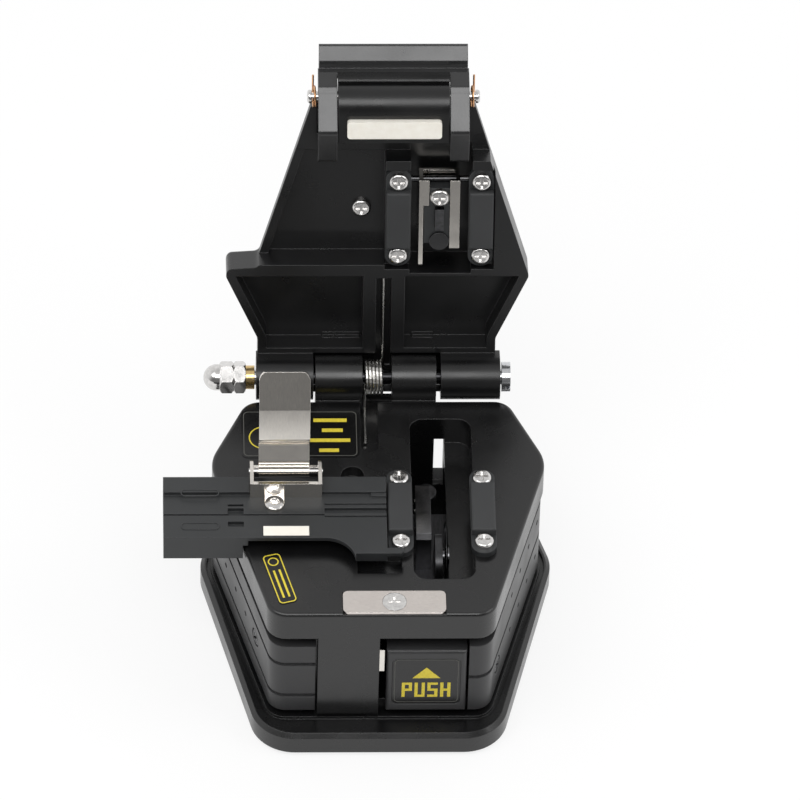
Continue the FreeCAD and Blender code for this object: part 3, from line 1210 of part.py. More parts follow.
def make_lid_shell():
    """The lid casting, with its compartments, knuckles, spine and nose."""
    lid = lid_plan(0, LID_UNDER, LID_EDGE_TOP)
    lid = lid.makeFillet(LID_TOP_R, edges_at_height(lid, HINGE_Z + LID_EDGE_TOP))
    spine = lid_block(SPINE_LEFT_X, SPINE_RIGHT_X, SPINE_BACK, SPINE_FRONT, LID_EDGE_TOP - 1, LID_SPINE_TOP)
    spine = spine.makeChamfer(SPINE_BEVEL, edges_at_height(spine, HINGE_Z + LID_SPINE_TOP))
    lid = lid.fuse([spine, lid_knuckle(LID_LEFT_END, LID_LEFT_KNUCKLE),
                    lid_knuckle(LID_RIGHT_START, LID_RIGHT_KNUCKLE), lid_nose()])
    lid = lid.cut(lid_cuts()).fuse(stop_pads())
    length = LID_RIGHT_START - LID_LEFT_START
    relief = rod(KNUCKLE_R + KNUCKLE_RELIEF, (LID_LEFT_START, HINGE_Y, HINGE_Z), X_DIR, length)
    bore = rod(BOLT_R + RUN_FIT, (LID_LEFT_END - 1, HINGE_Y, HINGE_Z), X_DIR, LID_RIGHT_END - LID_LEFT_END + 2)
    lid = lid.cut([relief, bore])
    y, z = lid_yz(LEVER_AXIS, LEVER_AXIS_RISE)
    lid = lid.cut(rod(SCREW_SHANK_R, (NOSE_X - 1, y, z), X_DIR, SCREW_LENGTH + 1))
    lid = lid.cut(rod(SCREW_SHANK_R, (NOSE_RIGHT_X + 1, y, z), X_DIR * -1, SCREW_LENGTH + 1))
    lid = lid.cut(magnet_block(SCREW_FIT))
    lid = lid.cut(rod(SCREW_SHANK_R + SCREW_FIT, panel_screw_seat(-1), Z_DIR, 3))
    y, z = lid_yz(ANVIL_AXIS, ANVIL_AXIS_RISE)
    lid = lid.cut(rod(ANVIL_PIN_R, (WELL_X - 1.3, y, z), X_DIR, WELL_WIDTH + 2.4))
    lid = lid.cut(lever_sweep())
    return opened(lid)


def lever_sweep():
    """Room in the lid's front corners for the lever's bosses."""
    y, z = lid_yz(LEVER_AXIS, LEVER_AXIS_RISE)
    rooms = []
    for x in (LEFT_ARM_X, RIGHT_ARM_X):
        rooms.append(rod(ARM_BOSS_R + 0.5, (x - ARM_GAP, y, z), X_DIR, ARM_WIDTH + 2 * ARM_GAP))
        rooms.append(lid_block(x - ARM_GAP, x + ARM_WIDTH + ARM_GAP, ARM_ROOM_BACK, BAR_FRONT, -2,
                               LID_UNDER + LID_STEP_DEPTH + ARM_ROOM))
    return rooms


def magnet_block(grow):
    """The magnet's block in the nose, grown by a fit."""
    x0 = LID_MAGNET_X - grow
    x1 = LID_MAGNET_X + LID_MAGNET_WIDTH + grow
    centre = HINGE_Y - strike_middle() - LID_MAGNET_BACK
    half = LID_MAGNET_DEPTH / 2 + grow
    bar = lid_block(x0, x1, centre - half, centre + half, NOSE_UNDER - MAGNET_PROUD, NOSE_UNDER + 1.5)
    return bar.makeFillet(MAGNET_CORNER_R, [edge for edge in bar.Edges if edge.BoundBox.ZLength > 1])


def make_lid_magnet():
    """Bright magnet bar that holds the lid shut."""
    return opened(magnet_block(0))


def panel_screw_seat(sink):
    """The screw's seat in the floor of the lid's left panel."""
    y, z = lid_yz(PANEL_SCREW_D, LID_UNDER + LID_PANEL_DEPTH)
    return (PANEL_SCREW_X, y, z + sink)


def make_panel_screw():
    """Screw in the lid's left panel."""
    screw = pan_screw(PAD_SCREW_R, PAD_SCREW_HEAD, SCREW_SHANK_R, 1.2)
    screw.rotate(FreeCAD.Vector(0, 0, 0), X_DIR, 180)
    x, y, z = panel_screw_seat(0)
    return opened(placed(screw, x, y, z))


# ---- Release lever ----

def make_release_lever():
    """Lever across the lid's front: two arms that prise on the deck, and a round-backed bar."""
    boss_y, boss_z = lid_yz(LEVER_AXIS, LEVER_AXIS_RISE)
    arm = [(ARM_TIP, 0.8), (ARM_TOE, -0.8), (LEVER_AXIS + 3.0, 4.5), (BAR_LIP, 7.7), (BAR_LIP, BAR_UNDER),
           (LEVER_AXIS + 1.5, 10.4), (LEVER_AXIS - 1.0, LEVER_AXIS_RISE + ARM_BOSS_R - 0.4), (ARM_TOE - 2, 4.2),
           (ARM_TIP, 3.2)]
    solids = []
    for x in (LEFT_ARM_X, RIGHT_ARM_X):
        solids.append(lid_side_prism(arm, [0.8, 1.2, 0.8, 0.3, 0, 0.5, 1.0, 1.5, 0.8], x, x + ARM_WIDTH))
        solids.append(rod(ARM_BOSS_R, (x, boss_y, boss_z), X_DIR, ARM_WIDTH))
    bar = [(LEVER_AXIS + 1.5, BAR_TOP), (BAR_FRONT - 0.9, BAR_TOP), (BAR_FRONT, BAR_TOP - 1.7),
           (BAR_FRONT - 2.6, BAR_UNDER), (BAR_LIP, BAR_UNDER), (BAR_LIP, 7.7), (LEVER_AXIS + 1.5, 7.7)]
    rail = lid_side_prism(bar, [1.0, 0.6, 0.5, 0, 0, 0, 0], LEFT_ARM_X + 0.2, RIGHT_ARM_X + ARM_WIDTH - 0.2)
    rail = rail.cut(rod(COVE_R, (LEFT_ARM_X - 1, boss_y, boss_z), X_DIR, NOSE_WIDTH + 4 * ARM_WIDTH))
    solids.append(rail)
    lever = solids[0].fuse(solids[1:])
    lever = lever.cut(rod(SCREW_SHANK_R + RUN_FIT, (LEFT_ARM_X - 1, boss_y, boss_z), X_DIR, ARM_WIDTH + 1.2))
    lever = lever.cut(rod(SCREW_SHANK_R + RUN_FIT, (RIGHT_ARM_X - 0.2, boss_y, boss_z), X_DIR, ARM_WIDTH + 1.2))
    return opened(lever)


def make_lever_pivot_screws():
    """The two screws that the lever turns on."""
    y, z = lid_yz(LEVER_AXIS, LEVER_AXIS_RISE)
    reach = ARM_GAP + ARM_WIDTH + lever_spring_room() + SCREW_LENGTH
    screws = []
    for side, face in ((-1, NOSE_X), (1, NOSE_RIGHT_X)):
        screw = pan_screw(PIVOT_HEAD_R, PIVOT_HEAD, SCREW_SHANK_R, reach)
        screw.rotate(FreeCAD.Vector(0, 0, 0), Y_DIR, 90 * side)
        screws.append(opened(placed(screw, face + side * (reach - SCREW_LENGTH), y, z)))
    return screws


def lever_spring_room():
    """The length that a lever spring takes on its screw."""
    return LEVER_SPRING_TURNS * (LEVER_SPRING_WIRE + 0.03) + LEVER_SPRING_WIRE + 0.2


def make_lever_spring(side):
    """Small brass torsion spring outside an arm, with one end standing up."""
    y, z = lid_yz(LEVER_AXIS, LEVER_AXIS_RISE)
    wire_r = LEVER_SPRING_WIRE / 2
    length = LEVER_SPRING_TURNS * (LEVER_SPRING_WIRE + 0.03)
    coil = along_x(helix_spring(LEVER_SPRING_R - wire_r, wire_r, length, LEVER_SPRING_TURNS))
    edge = LEFT_ARM_X - 0.1 - wire_r - length if side < 0 else RIGHT_ARM_X + ARM_WIDTH + 0.1 + wire_r
    coil = placed(coil, edge, y, z)
    tail_x = edge if side < 0 else edge + length
    tail = rod(wire_r, (tail_x, y, z + LEVER_SPRING_R - wire_r), Y_DIR * -1, 3.6)
    return [opened(coil), opened(tail)]


# ---- Anvil arm ----

def make_anvil_bracket():
    """Bright channel that swings on its pin in the lid's well, one leg longer than the other."""
    web_under = ANVIL_AXIS_RISE + 1.2
    web_top = web_under + ANVIL_SHEET
    front = ANVIL_AXIS + ANVIL_NOSE
    x1 = ANVIL_X + ANVIL_WIDTH
    pieces = []
    for x, end in ((ANVIL_X, ANVIL_LONG_END), (x1 - ANVIL_SHEET, ANVIL_END)):
        leg = [(end, ANVIL_LEG_UNDER), (front, ANVIL_LEG_UNDER), (front, web_top), (ANVIL_END + 1, web_top),
               (end, ANVIL_LEG_UNDER + 2.2)]
        pieces.append(lid_side_prism(leg, [0.6, 0.6, 0.4, 0, 0.6], x, x + ANVIL_SHEET))
    under = ANVIL_LEG_UNDER + ANVIL_SHEET
    pieces.append(lid_block(ANVIL_X, ANVIL_X + ANVIL_FLANGE, ANVIL_FLANGE_BACK, front, ANVIL_LEG_UNDER, under))
    pieces.append(lid_block(x1 - ANVIL_FLANGE, x1, ANVIL_END, front, ANVIL_LEG_UNDER, under))
    web = lid_block(ANVIL_X, x1, ANVIL_END + 1, front, web_under, web_top)
    bracket = web.fuse(pieces)
    y, z = lid_yz(ANVIL_AXIS, ANVIL_AXIS_RISE)
    bracket = bracket.cut(rod(ANVIL_PIN_R + RUN_FIT, (ANVIL_X - 1, y, z), X_DIR, ANVIL_WIDTH + 2))
    x, y, z = anvil_screw_seat()
    bracket = bracket.cut(rod(SCREW_SHANK_R + SCREW_FIT, (x, y, z - 1), Z_DIR, ANVIL_AXIS_RISE + 1))
    return opened(bracket)


def anvil_screw_seat():
    """Seat of the anvil block's screw."""
    y, z = lid_yz(ANVIL_SCREW_D, ANVIL_LEG_UNDER + ANVIL_BLOCK_SINK)
    return (ANVIL_X + ANVIL_WIDTH / 2, y, z)


def make_anvil_block():
    """Black block between the bracket's legs."""
    x0 = ANVIL_X + ANVIL_SHEET + 0.1
    x1 = ANVIL_X + ANVIL_WIDTH - ANVIL_SHEET - 0.1
    base = ANVIL_LEG_UNDER + ANVIL_BLOCK_SINK
    shape = lid_block(x0, x1, ANVIL_END + 1.0, ANVIL_AXIS - ANVIL_PIN_R - RUN_FIT, base, ANVIL_AXIS_RISE + 1.2)
    under = ANVIL_LEG_UNDER + ANVIL_SHEET + SCREW_FIT
    inner = ANVIL_X + ANVIL_FLANGE + SCREW_FIT
    shape = shape.cut(lid_block(x0 - 1, inner, ANVIL_FLANGE_BACK - 0.1, ANVIL_AXIS, base - 1, under))
    shape = shape.cut(lid_block(ANVIL_X + ANVIL_WIDTH - ANVIL_FLANGE - SCREW_FIT, x1 + 1, ANVIL_END - 1,
                                ANVIL_AXIS, base - 1, under))
    x, y, z = anvil_screw_seat()
    shape = shape.cut(rod(SCREW_SHANK_R + SCREW_FIT, (x, y, z - 1), Z_DIR, ANVIL_AXIS_RISE + 1))
    half = ANVIL_TIP_WIDTH / 2
    reach = ANVIL_TIP_LENGTH / 2
    shape = shape.cut(lid_block(x - half, x + half, ANVIL_TIP_D - reach, ANVIL_TIP_D + reach, base - 1,
                                base + ANVIL_TIP_SINK))
    x, y, z = anvil_roller_seat()
    return opened(shape.cut(rod(ANVIL_PIN_R + SCREW_FIT, (x, y, z - 1), Z_DIR, ANVIL_ROLLER_SHANK + 1 + SCREW_FIT)))


def make_anvil_tip():
    """Dark hard pad that bends the fibre."""
    x = ANVIL_X + ANVIL_WIDTH / 2
    low = FIBRE_Z + ANVIL_TIP_CLEAR - HINGE_Z
    half = ANVIL_TIP_WIDTH / 2
    reach = ANVIL_TIP_LENGTH / 2
    return opened(lid_block(x - half, x + half, ANVIL_TIP_D - reach, ANVIL_TIP_D + reach, low,
                            ANVIL_LEG_UNDER + ANVIL_BLOCK_SINK + ANVIL_TIP_SINK))


def make_anvil_screw():
    """Cross screw through the anvil block into the bracket."""
    shank = ANVIL_AXIS_RISE + 1.2 + ANVIL_SHEET - ANVIL_LEG_UNDER - ANVIL_BLOCK_SINK
    screw = pan_screw(PAD_SCREW_R, PAD_SCREW_HEAD, SCREW_SHANK_R, shank)
    screw.rotate(FreeCAD.Vector(0, 0, 0), X_DIR, 180)
    return opened(placed(screw, *anvil_screw_seat()))


def anvil_roller_seat():
    """Seat of the stop screw at the anvil block's free end."""
    y, z = lid_yz(ANVIL_END + ANVIL_ROLLER_IN, ANVIL_LEG_UNDER + ANVIL_BLOCK_SINK)
    return (ANVIL_X + ANVIL_WIDTH / 2, y, z)


def make_anvil_roller():
    """Round stop screw at the anvil block's free end."""
    x, y, z = anvil_roller_seat()
    head = rod(ANVIL_ROLLER_R, (x, y, z - ANVIL_ROLLER_HEAD), Z_DIR, ANVIL_ROLLER_HEAD)
    return opened(head.fuse(rod(ANVIL_PIN_R, (x, y, z), Z_DIR, ANVIL_ROLLER_SHANK)))


def make_anvil_pin():
    """Pin across the lid's well that the anvil arm swings on."""
    y, z = lid_yz(ANVIL_AXIS, ANVIL_AXIS_RISE)
    return opened(rod(ANVIL_PIN_R, (WELL_X - 1.2, y, z), X_DIR, WELL_WIDTH + 2.0))


# ---- Build ----

os.makedirs("parts", exist_ok=True)

export("foot_pad", make_foot_pad())
export("base_plate", make_base_plate())
export("base_screws", *make_base_screws())
export("main_body", make_main_body())
export("left_side_cover", make_side_cover(-1))
export("right_side_cover", make_side_cover(1))
export("cover_screws", *make_cover_screws())
export("strike_plate", make_strike_plate())
export("strike_plate_screw", make_strike_plate_screw())

for side_name, pad_x in (("left", PAD_LEFT_X), ("right", PAD_RIGHT_X)):
    export("base_pad_holder_" + side_name, placed(pad_holder(pad_x), 0, 0, DECK))
    export("base_rubber_" + side_name, placed(pad_rubber(pad_x), 0, 0, PAD_TOP))
    seat_z = HINGE_Z + LID_SEAT
    export("lid_pad_holder_" + side_name, on_lid(pad_holder(pad_x), seat_z))
    export("lid_rubber_" + side_name, on_lid(pad_rubber(pad_x), seat_z - PAD_THICK))

export("base_pad_screws", *[placed(screw, 0, 0, PAD_TOP) for screw in pad_screws()])
export("lid_pad_screws", *[on_lid(screw, HINGE_Z + LID_SEAT - PAD_THICK) for screw in pad_screws()])

export("fibre_guide", make_fibre_guide())
export("guide_magnet", make_guide_magnet())
export("clip_bracket", make_clip_bracket())
export("bracket_screw", make_bracket_screw())
export("clip_pin", make_clip_pin())
export("clip_leaf", make_clip_leaf())

export("hinge_bolt", make_hinge_bolt())
export("brass_bush", make_brass_bush())
export("hex_nut", make_hex_nut())
export("acorn_nut", make_acorn_nut())
export("lid_spring", *make_lid_spring())

export("slide_rail", make_slide_rail())
export("push_button", make_push_button())
export("carriage", make_carriage())
export("blade_axle", make_blade_axle())
export("blade_wheel", make_blade_wheel())
export("ramp_bar", make_ramp_bar())
export("ramp_roller", make_ramp_roller())
export("return_spring", make_return_spring())

export("lid_shell", make_lid_shell())
export("lid_magnet", make_lid_magnet())
export("panel_screw", make_panel_screw())
export("release_lever", make_release_lever())
export("lever_pivot_screws", *make_lever_pivot_screws())
export("lever_spring_left", *make_lever_spring(-1))
export("lever_spring_right", *make_lever_spring(1))

export("anvil_bracket", make_anvil_bracket())
export("anvil_block", make_anvil_block())
export("anvil_tip", make_anvil_tip())
export("anvil_screw", make_anvil_screw())
export("anvil_roller", make_anvil_roller())
export("anvil_pin", make_anvil_pin())
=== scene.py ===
import math

import bmesh
import bpy
from mathutils import Matrix, Vector


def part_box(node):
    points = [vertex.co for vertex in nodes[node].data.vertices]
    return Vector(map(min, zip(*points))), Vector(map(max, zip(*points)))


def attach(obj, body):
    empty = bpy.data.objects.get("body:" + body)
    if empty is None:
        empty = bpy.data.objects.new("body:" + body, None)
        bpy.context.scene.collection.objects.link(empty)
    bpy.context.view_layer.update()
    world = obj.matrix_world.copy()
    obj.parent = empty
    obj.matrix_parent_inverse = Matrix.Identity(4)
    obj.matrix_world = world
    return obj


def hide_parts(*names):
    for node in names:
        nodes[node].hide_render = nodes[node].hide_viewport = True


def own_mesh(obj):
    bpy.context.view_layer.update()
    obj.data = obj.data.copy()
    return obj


# The fibre cleaver, dressed: materials for its castings, covers, steel and rubber, springs, of which
# the lid spring's upper arm moves with the lid, and the plates and outlines on it. Metres, in the frame's
# own axes.

MM = 0.001
LID_OPENING = math.radians(106.3)

# The part of a noise's range that is spread over the values that a material varies between
NOISE_LOW = 0.3
NOISE_HIGH = 0.7
# Mottling per metre, for paint, metal and ink
PAINT_MOTTLE = 120.0
METAL_MOTTLE = 260.0
INK_SPECK = 2200.0
# The cosines between the softened and the true normal at which an edge is worn and unworn
EDGE_START = 0.85
EDGE_END = 0.995

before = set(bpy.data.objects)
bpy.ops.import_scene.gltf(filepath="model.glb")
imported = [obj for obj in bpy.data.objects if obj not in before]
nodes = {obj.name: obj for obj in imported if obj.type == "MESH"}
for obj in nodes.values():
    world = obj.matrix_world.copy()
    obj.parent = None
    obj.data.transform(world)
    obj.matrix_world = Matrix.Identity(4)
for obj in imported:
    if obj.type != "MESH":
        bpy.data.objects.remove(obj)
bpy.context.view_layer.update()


# ---- Materials ----

def start_material(name):
    """A node material with its shader and the object's own coordinates."""
    material = bpy.data.materials.new(name)
    material.use_nodes = True
    tree = material.node_tree
    shader = tree.nodes["Principled BSDF"]
    coords = tree.nodes.new("ShaderNodeTexCoord")
    return material, tree, shader, coords.outputs["Object"]


def add_noise(tree, coords, scale, detail=3.0, roughness=0.5, stretch=(1, 1, 1)):
    """Noise of a given scale per metre, stretched along the axes."""
    mapping = tree.nodes.new("ShaderNodeMapping")
    mapping.inputs["Scale"].default_value = stretch
    tree.links.new(coords, mapping.inputs["Vector"])
    noise = tree.nodes.new("ShaderNodeTexNoise")
    noise.inputs["Scale"].default_value = scale
    noise.inputs["Detail"].default_value = detail
    noise.inputs["Roughness"].default_value = roughness
    tree.links.new(mapping.outputs["Vector"], noise.inputs["Vector"])
    return noise.outputs["Fac"]


def map_range(tree, value, low, high, start=NOISE_LOW, end=NOISE_HIGH):
    """Spreads a value between two numbers."""
    spread = tree.nodes.new("ShaderNodeMapRange")
    spread.inputs["From Min"].default_value = start
    spread.inputs["From Max"].default_value = end
    spread.inputs["To Min"].default_value = low
    spread.inputs["To Max"].default_value = high
    tree.links.new(value, spread.inputs["Value"])
    return spread.outputs["Result"]


def add_maths(tree, operation, one, two):
    """One arithmetic node; either term may be a number."""
    maths = tree.nodes.new("ShaderNodeMath")
    maths.operation = operation
    for socket, value in ((maths.inputs[0], one), (maths.inputs[1], two)):
        if isinstance(value, float):
            socket.default_value = value
        else:
            tree.links.new(value, socket)
    return maths.outputs[0]


def mix_colour(tree, factor, one, two):
    """Mixes two colours by a factor."""
    mix = tree.nodes.new("ShaderNodeMix")
    mix.data_type = "RGBA"
    tree.links.new(factor, mix.inputs["Factor"])
    for socket, value in ((mix.inputs["A"], one), (mix.inputs["B"], two)):
        if isinstance(value, tuple):
            socket.default_value = (*value, 1)
        else:
            tree.links.new(value, socket)
    return mix.outputs["Result"]


def rounded_normal(tree, radius):
    """Normals that soften the solid's sharp edges."""
    bevel = tree.nodes.new("ShaderNodeBevel")
    bevel.samples = 4
    bevel.inputs["Radius"].default_value = radius
    return bevel.outputs["Normal"]


def edge_mask(tree, normal, strength):
    """Where the softened normal leaves the true one, which is along the edges."""
    geometry = tree.nodes.new("ShaderNodeNewGeometry")
    dot = tree.nodes.new("ShaderNodeVectorMath")
    dot.operation = "DOT_PRODUCT"
    tree.links.new(normal, dot.inputs[0])
    tree.links.new(geometry.outputs["Normal"], dot.inputs[1])
    return map_range(tree, dot.outputs["Value"], strength, 0.0, EDGE_START, EDGE_END)


def add_bump(tree, shader, height, strength, distance, normal=None):
    """A bump from a height, on top of a normal."""
    bump = tree.nodes.new("ShaderNodeBump")
    bump.inputs["Strength"].default_value = strength
    bump.inputs["Distance"].default_value = distance
    tree.links.new(height, bump.inputs["Height"])
    if normal is not None:
        tree.links.new(normal, bump.inputs["Normal"])
    tree.links.new(bump.outputs["Normal"], shader.inputs["Normal"])


def coated(name, colour, worn, roughness, grain, grain_depth, specular=0.5, edge=0.25 * MM, wear=0.5):
    """Painted or moulded surface: fine grain, uneven gloss and slightly paler edges."""
    material, tree, shader, coords = start_material(name)
    shader.inputs["Specular IOR Level"].default_value = specular
    fine = add_noise(tree, coords, grain, 2.0)
    broad = add_noise(tree, coords, PAINT_MOTTLE, 4.0)
    soft = rounded_normal(tree, edge)
    tint = map_range(tree, broad, 0.0, 0.35)
    ground = mix_colour(tree, tint, colour, tuple(min(1.0, c * 1.5 + 0.002) for c in colour))
    rub = edge_mask(tree, soft, wear)
    tree.links.new(mix_colour(tree, rub, ground, worn), shader.inputs["Base Color"])
    tree.links.new(map_range(tree, broad, roughness - 0.05, roughness + 0.06), shader.inputs["Roughness"])
    add_bump(tree, shader, fine, 0.35, grain_depth, soft)
    return material


def metal(name, colour, shade, roughness, stretch=(1, 1, 1), grain=1500.0, depth=0.006 * MM, edge=0.12 * MM,
          metallic=1.0):
    """Plated or brushed metal: fine lines or mottling in colour, gloss and bump."""
    material, tree, shader, coords = start_material(name)
    shader.inputs["Metallic"].default_value = metallic
    lines = add_noise(tree, coords, grain, 4.0, 0.6, stretch)
    broad = add_noise(tree, coords, METAL_MOTTLE, 3.0)
    soft = rounded_normal(tree, edge)
    mottled = mix_colour(tree, map_range(tree, lines, 0.0, 1.0), colour, shade)
    tree.links.new(mottled, shader.inputs["Base Color"])
    tree.links.new(map_range(tree, broad, roughness * 0.75, roughness * 1.35), shader.inputs["Roughness"])
    add_bump(tree, shader, lines, 0.3, depth, soft)
    return material


def bolt_with_painted_shade():
    """Zinc at the head and end of the hinge bolt, with painted shade on the shank between: a near-black that
    stands in for the knuckles' shadow.
    """
    shank_end = 19.5 * MM
    zinc_start = 20.5 * MM
    material = metal("bolt_with_painted_shade", (0.70, 0.71, 0.73), (0.56, 0.57, 0.59), 0.15, grain=1300.0)
    tree = material.node_tree
    shader = tree.nodes["Principled BSDF"]
    coords = tree.nodes.new("ShaderNodeTexCoord")
    split = tree.nodes.new("ShaderNodeSeparateXYZ")
    tree.links.new(coords.outputs["Object"], split.inputs[0])
    off_middle = add_maths(tree, "ABSOLUTE", split.outputs["X"], 0.0)
    end = map_range(tree, off_middle, 0.0, 1.0, shank_end, zinc_start)
    zinc_colour = shader.inputs["Base Color"].links[0].from_socket
    # Painted shade: the shank between the zinc ends is coloured near-black, standing in for the shadow
    # inside the knuckles.
    tree.links.new(mix_colour(tree, end, (0.03, 0.03, 0.032), zinc_colour), shader.inputs["Base Color"])
    return material


def printed(name, colour, roughness):
    """Ink or plate film with a faint unevenness."""
    material, tree, shader, coords = start_material(name)
    speck = add_noise(tree, coords, INK_SPECK, 3.0)
    darker = tuple(c * 0.82 for c in colour)
    mottled = mix_colour(tree, map_range(tree, speck, 0.0, 1.0), colour, darker)
    tree.links.new(mottled, shader.inputs["Base Color"])
    tree.links.new(map_range(tree, speck, roughness, roughness + 0.1), shader.inputs["Roughness"])
    add_bump(tree, shader, speck, 0.15, 0.01 * MM)
    return material


casting = coated("casting_black", (0.004, 0.004, 0.0042), (0.03, 0.03, 0.031), roughness=0.26, grain=2600.0,
                 grain_depth=0.01 * MM, specular=0.6)
lid_paint = coated("lid_black", (0.004, 0.004, 0.0043), (0.03, 0.03, 0.031), roughness=0.3, grain=2600.0,
                   grain_depth=0.01 * MM, specular=0.5)
cover_paint = coated("cover_black", (0.03, 0.03, 0.031), (0.07, 0.07, 0.072), roughness=0.34, grain=2200.0,
                     grain_depth=0.012 * MM, specular=0.35)
moulded = coated("moulded_black", (0.024, 0.0255, 0.0265), (0.06, 0.06, 0.062), roughness=0.42, grain=1800.0,
                 grain_depth=0.02 * MM, specular=0.45)
rubber = coated("rubber_black", (0.032, 0.033, 0.034), (0.045, 0.045, 0.046), roughness=0.6, grain=1500.0,
                grain_depth=0.03 * MM, specular=0.4, wear=0.2)
anodised = coated("lever_black", (0.012, 0.012, 0.0125), (0.05, 0.05, 0.052), roughness=0.22, grain=3000.0,
                  grain_depth=0.008 * MM, specular=0.7)
bright_sheet = metal("bright_sheet", (0.80, 0.76, 0.70), (0.70, 0.67, 0.63), roughness=0.09,
                     stretch=(8, 1, 1), grain=900.0, depth=0.003 * MM)
plate_steel = metal("plate_steel", (0.72, 0.66, 0.62), (0.62, 0.58, 0.55), roughness=0.2,
                    stretch=(1, 10, 1), grain=900.0)
zinc = metal("zinc_plate", (0.76, 0.745, 0.73), (0.60, 0.59, 0.58), roughness=0.15, grain=1300.0)
wire = metal("spring_wire", (0.74, 0.73, 0.70), (0.58, 0.57, 0.55), roughness=0.24, grain=2500.0)
brass = metal("bright_brass", (0.80, 0.60, 0.30), (0.66, 0.46, 0.20), roughness=0.25, grain=1500.0)
copper = metal("copper_wire", (0.74, 0.42, 0.22), (0.60, 0.32, 0.16), roughness=0.25, grain=2500.0)
nickel = metal("nickel_magnet", (0.97, 0.94, 0.86), (0.92, 0.88, 0.79), roughness=0.4, grain=700.0,
               depth=0.002 * MM, metallic=0.2)
dark_steel = metal("dark_steel", (0.12, 0.12, 0.125), (0.07, 0.07, 0.072), roughness=0.28, grain=1300.0)
roller_black = coated("roller_black", (0.006, 0.006, 0.007), (0.03, 0.03, 0.031), roughness=0.12,
                      grain=1800.0, grain_depth=0.004 * MM, specular=0.8)
bolt_zinc_and_painted_shade = bolt_with_painted_shade()
tool_steel = metal("tool_steel", (0.16, 0.16, 0.165), (0.11, 0.11, 0.115), roughness=0.12,
                   stretch=(1, 6, 6), grain=900.0)
milled = metal("milled_block", (0.10, 0.10, 0.105), (0.06, 0.06, 0.062), roughness=0.34,
               stretch=(6, 1, 1), grain=800.0)
film = printed("plate_film", (0.006, 0.006, 0.006), roughness=0.16)
yellow_ink = printed("yellow_ink", (0.74, 0.60, 0.045), roughness=0.45)
pale_ink = printed("pale_ink", (0.09, 0.09, 0.08), roughness=0.45)

FINISHES = {
    casting: ("base_plate", "main_body"),
    lid_paint: ("lid_shell",),
    cover_paint: ("left_side_cover", "right_side_cover", "push_button"),
    anodised: ("release_lever",),
    moulded: ("fibre_guide", "base_pad_holder_left", "base_pad_holder_right", "lid_pad_holder_left",
              "lid_pad_holder_right", "anvil_block"),
    rubber: ("base_rubber_left", "base_rubber_right", "lid_rubber_left", "lid_rubber_right", "foot_pad"),
    bright_sheet: ("clip_bracket", "clip_leaf", "anvil_bracket", "slide_rail"),
    plate_steel: ("strike_plate",),
    zinc: ("hex_nut", "acorn_nut", "base_screws", "strike_plate_screw", "base_pad_screws",
           "lid_pad_screws", "panel_screw", "lever_pivot_screws", "anvil_screw", "clip_pin"),
    bolt_zinc_and_painted_shade: ("hinge_bolt",),
    dark_steel: ("cover_screws", "anvil_pin", "anvil_tip"),
    roller_black: ("anvil_roller",),
    wire: ("lid_spring", "return_spring"),
    brass: ("brass_bush",),
    copper: ("lever_spring_left", "lever_spring_right"),
    nickel: ("guide_magnet", "lid_magnet"),
    tool_steel: ("ramp_bar", "ramp_roller", "blade_wheel", "blade_axle"),
    milled: ("carriage",),
}
for finish, names in FINISHES.items():
    for name in names:
        slots = nodes[name].data.materials
        slots.clear()
        slots.append(finish)


# ---- Making pieces ----

def finish_piece(name, bm, material, body):
    """Turns a bmesh into a piece that rides on a body."""
    bmesh.ops.recalc_face_normals(bm, faces=bm.faces)
    mesh = bpy.data.meshes.new(name)
    bm.to_mesh(mesh)
    bm.free()
    mesh.materials.append(material)
    piece = bpy.data.objects.new(name, mesh)
    bpy.context.scene.collection.objects.link(piece)
    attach(piece, body)
    return piece


def rounded_loop(width, height, radius, steps=5):
    """Points of a rounded rectangle about the origin."""
    points = []
    for corner in range(4):
        angle = corner * math.pi / 2
        cx = (width / 2 - radius) * (1 if corner in (0, 3) else -1)
        cy = (height / 2 - radius) * (1 if corner in (0, 1) else -1)
        for step in range(steps + 1):
            turn = angle + step / steps * math.pi / 2
            points.append((cx + radius * math.cos(turn), cy + radius * math.sin(turn)))
    return points


def add_slab(bm, points, bottom, top, place):
    """A closed flat slab over a loop of points."""
    low = [bm.verts.new(place @ Vector((x, y, bottom))) for x, y in points]
    high = [bm.verts.new(place @ Vector((x, y, top))) for x, y in points]
    bm.faces.new(low[::-1])
    bm.faces.new(high)
    count = len(points)
    for i in range(count):
        j = (i + 1) % count
        bm.faces.new((low[i], low[j], high[j], high[i]))


def add_frame(bm, outer, inner, bottom, top, place):
    """A closed flat ring between two loops with as many points."""
    rings = []
    for points in (outer, inner):
        for level in (bottom, top):
            rings.append([bm.verts.new(place @ Vector((x, y, level))) for x, y in points])
    outer_low, outer_high, inner_low, inner_high = rings
    count = len(outer)
    for i in range(count):
        j = (i + 1) % count
        bm.faces.new((outer_low[i], outer_low[j], outer_high[j], outer_high[i]))
        bm.faces.new((inner_low[j], inner_low[i], inner_high[i], inner_high[j]))
        bm.faces.new((outer_high[i], outer_high[j], inner_high[j], inner_high[i]))
        bm.faces.new((outer_low[j], outer_low[i], inner_low[i], inner_low[j]))


def add_border(bm, size, outer, inner, levels, place):
    """A rounded outline within a plate; outer and inner are each an inset and a corner radius."""
    width, height = size
    loops = [rounded_loop(width - inset, height - inset, radius) for inset, radius in (outer, inner)]
    add_frame(bm, *loops, *levels, place)


def shifted(points, dx, dy):
    """Points moved in their plane."""
    return [(x + dx, y + dy) for x, y in points]


def bar_loop(x0, x1, y0, y1):
    """The four corners of a bar."""
    return [(x0, y0), (x1, y0), (x1, y1), (x0, y1)]


def circle_loop(radius, count=32):
    """Points round a circle."""
    return [(radius * math.cos(2 * math.pi * i / count), radius * math.sin(2 * math.pi * i / count))
            for i in range(count)]


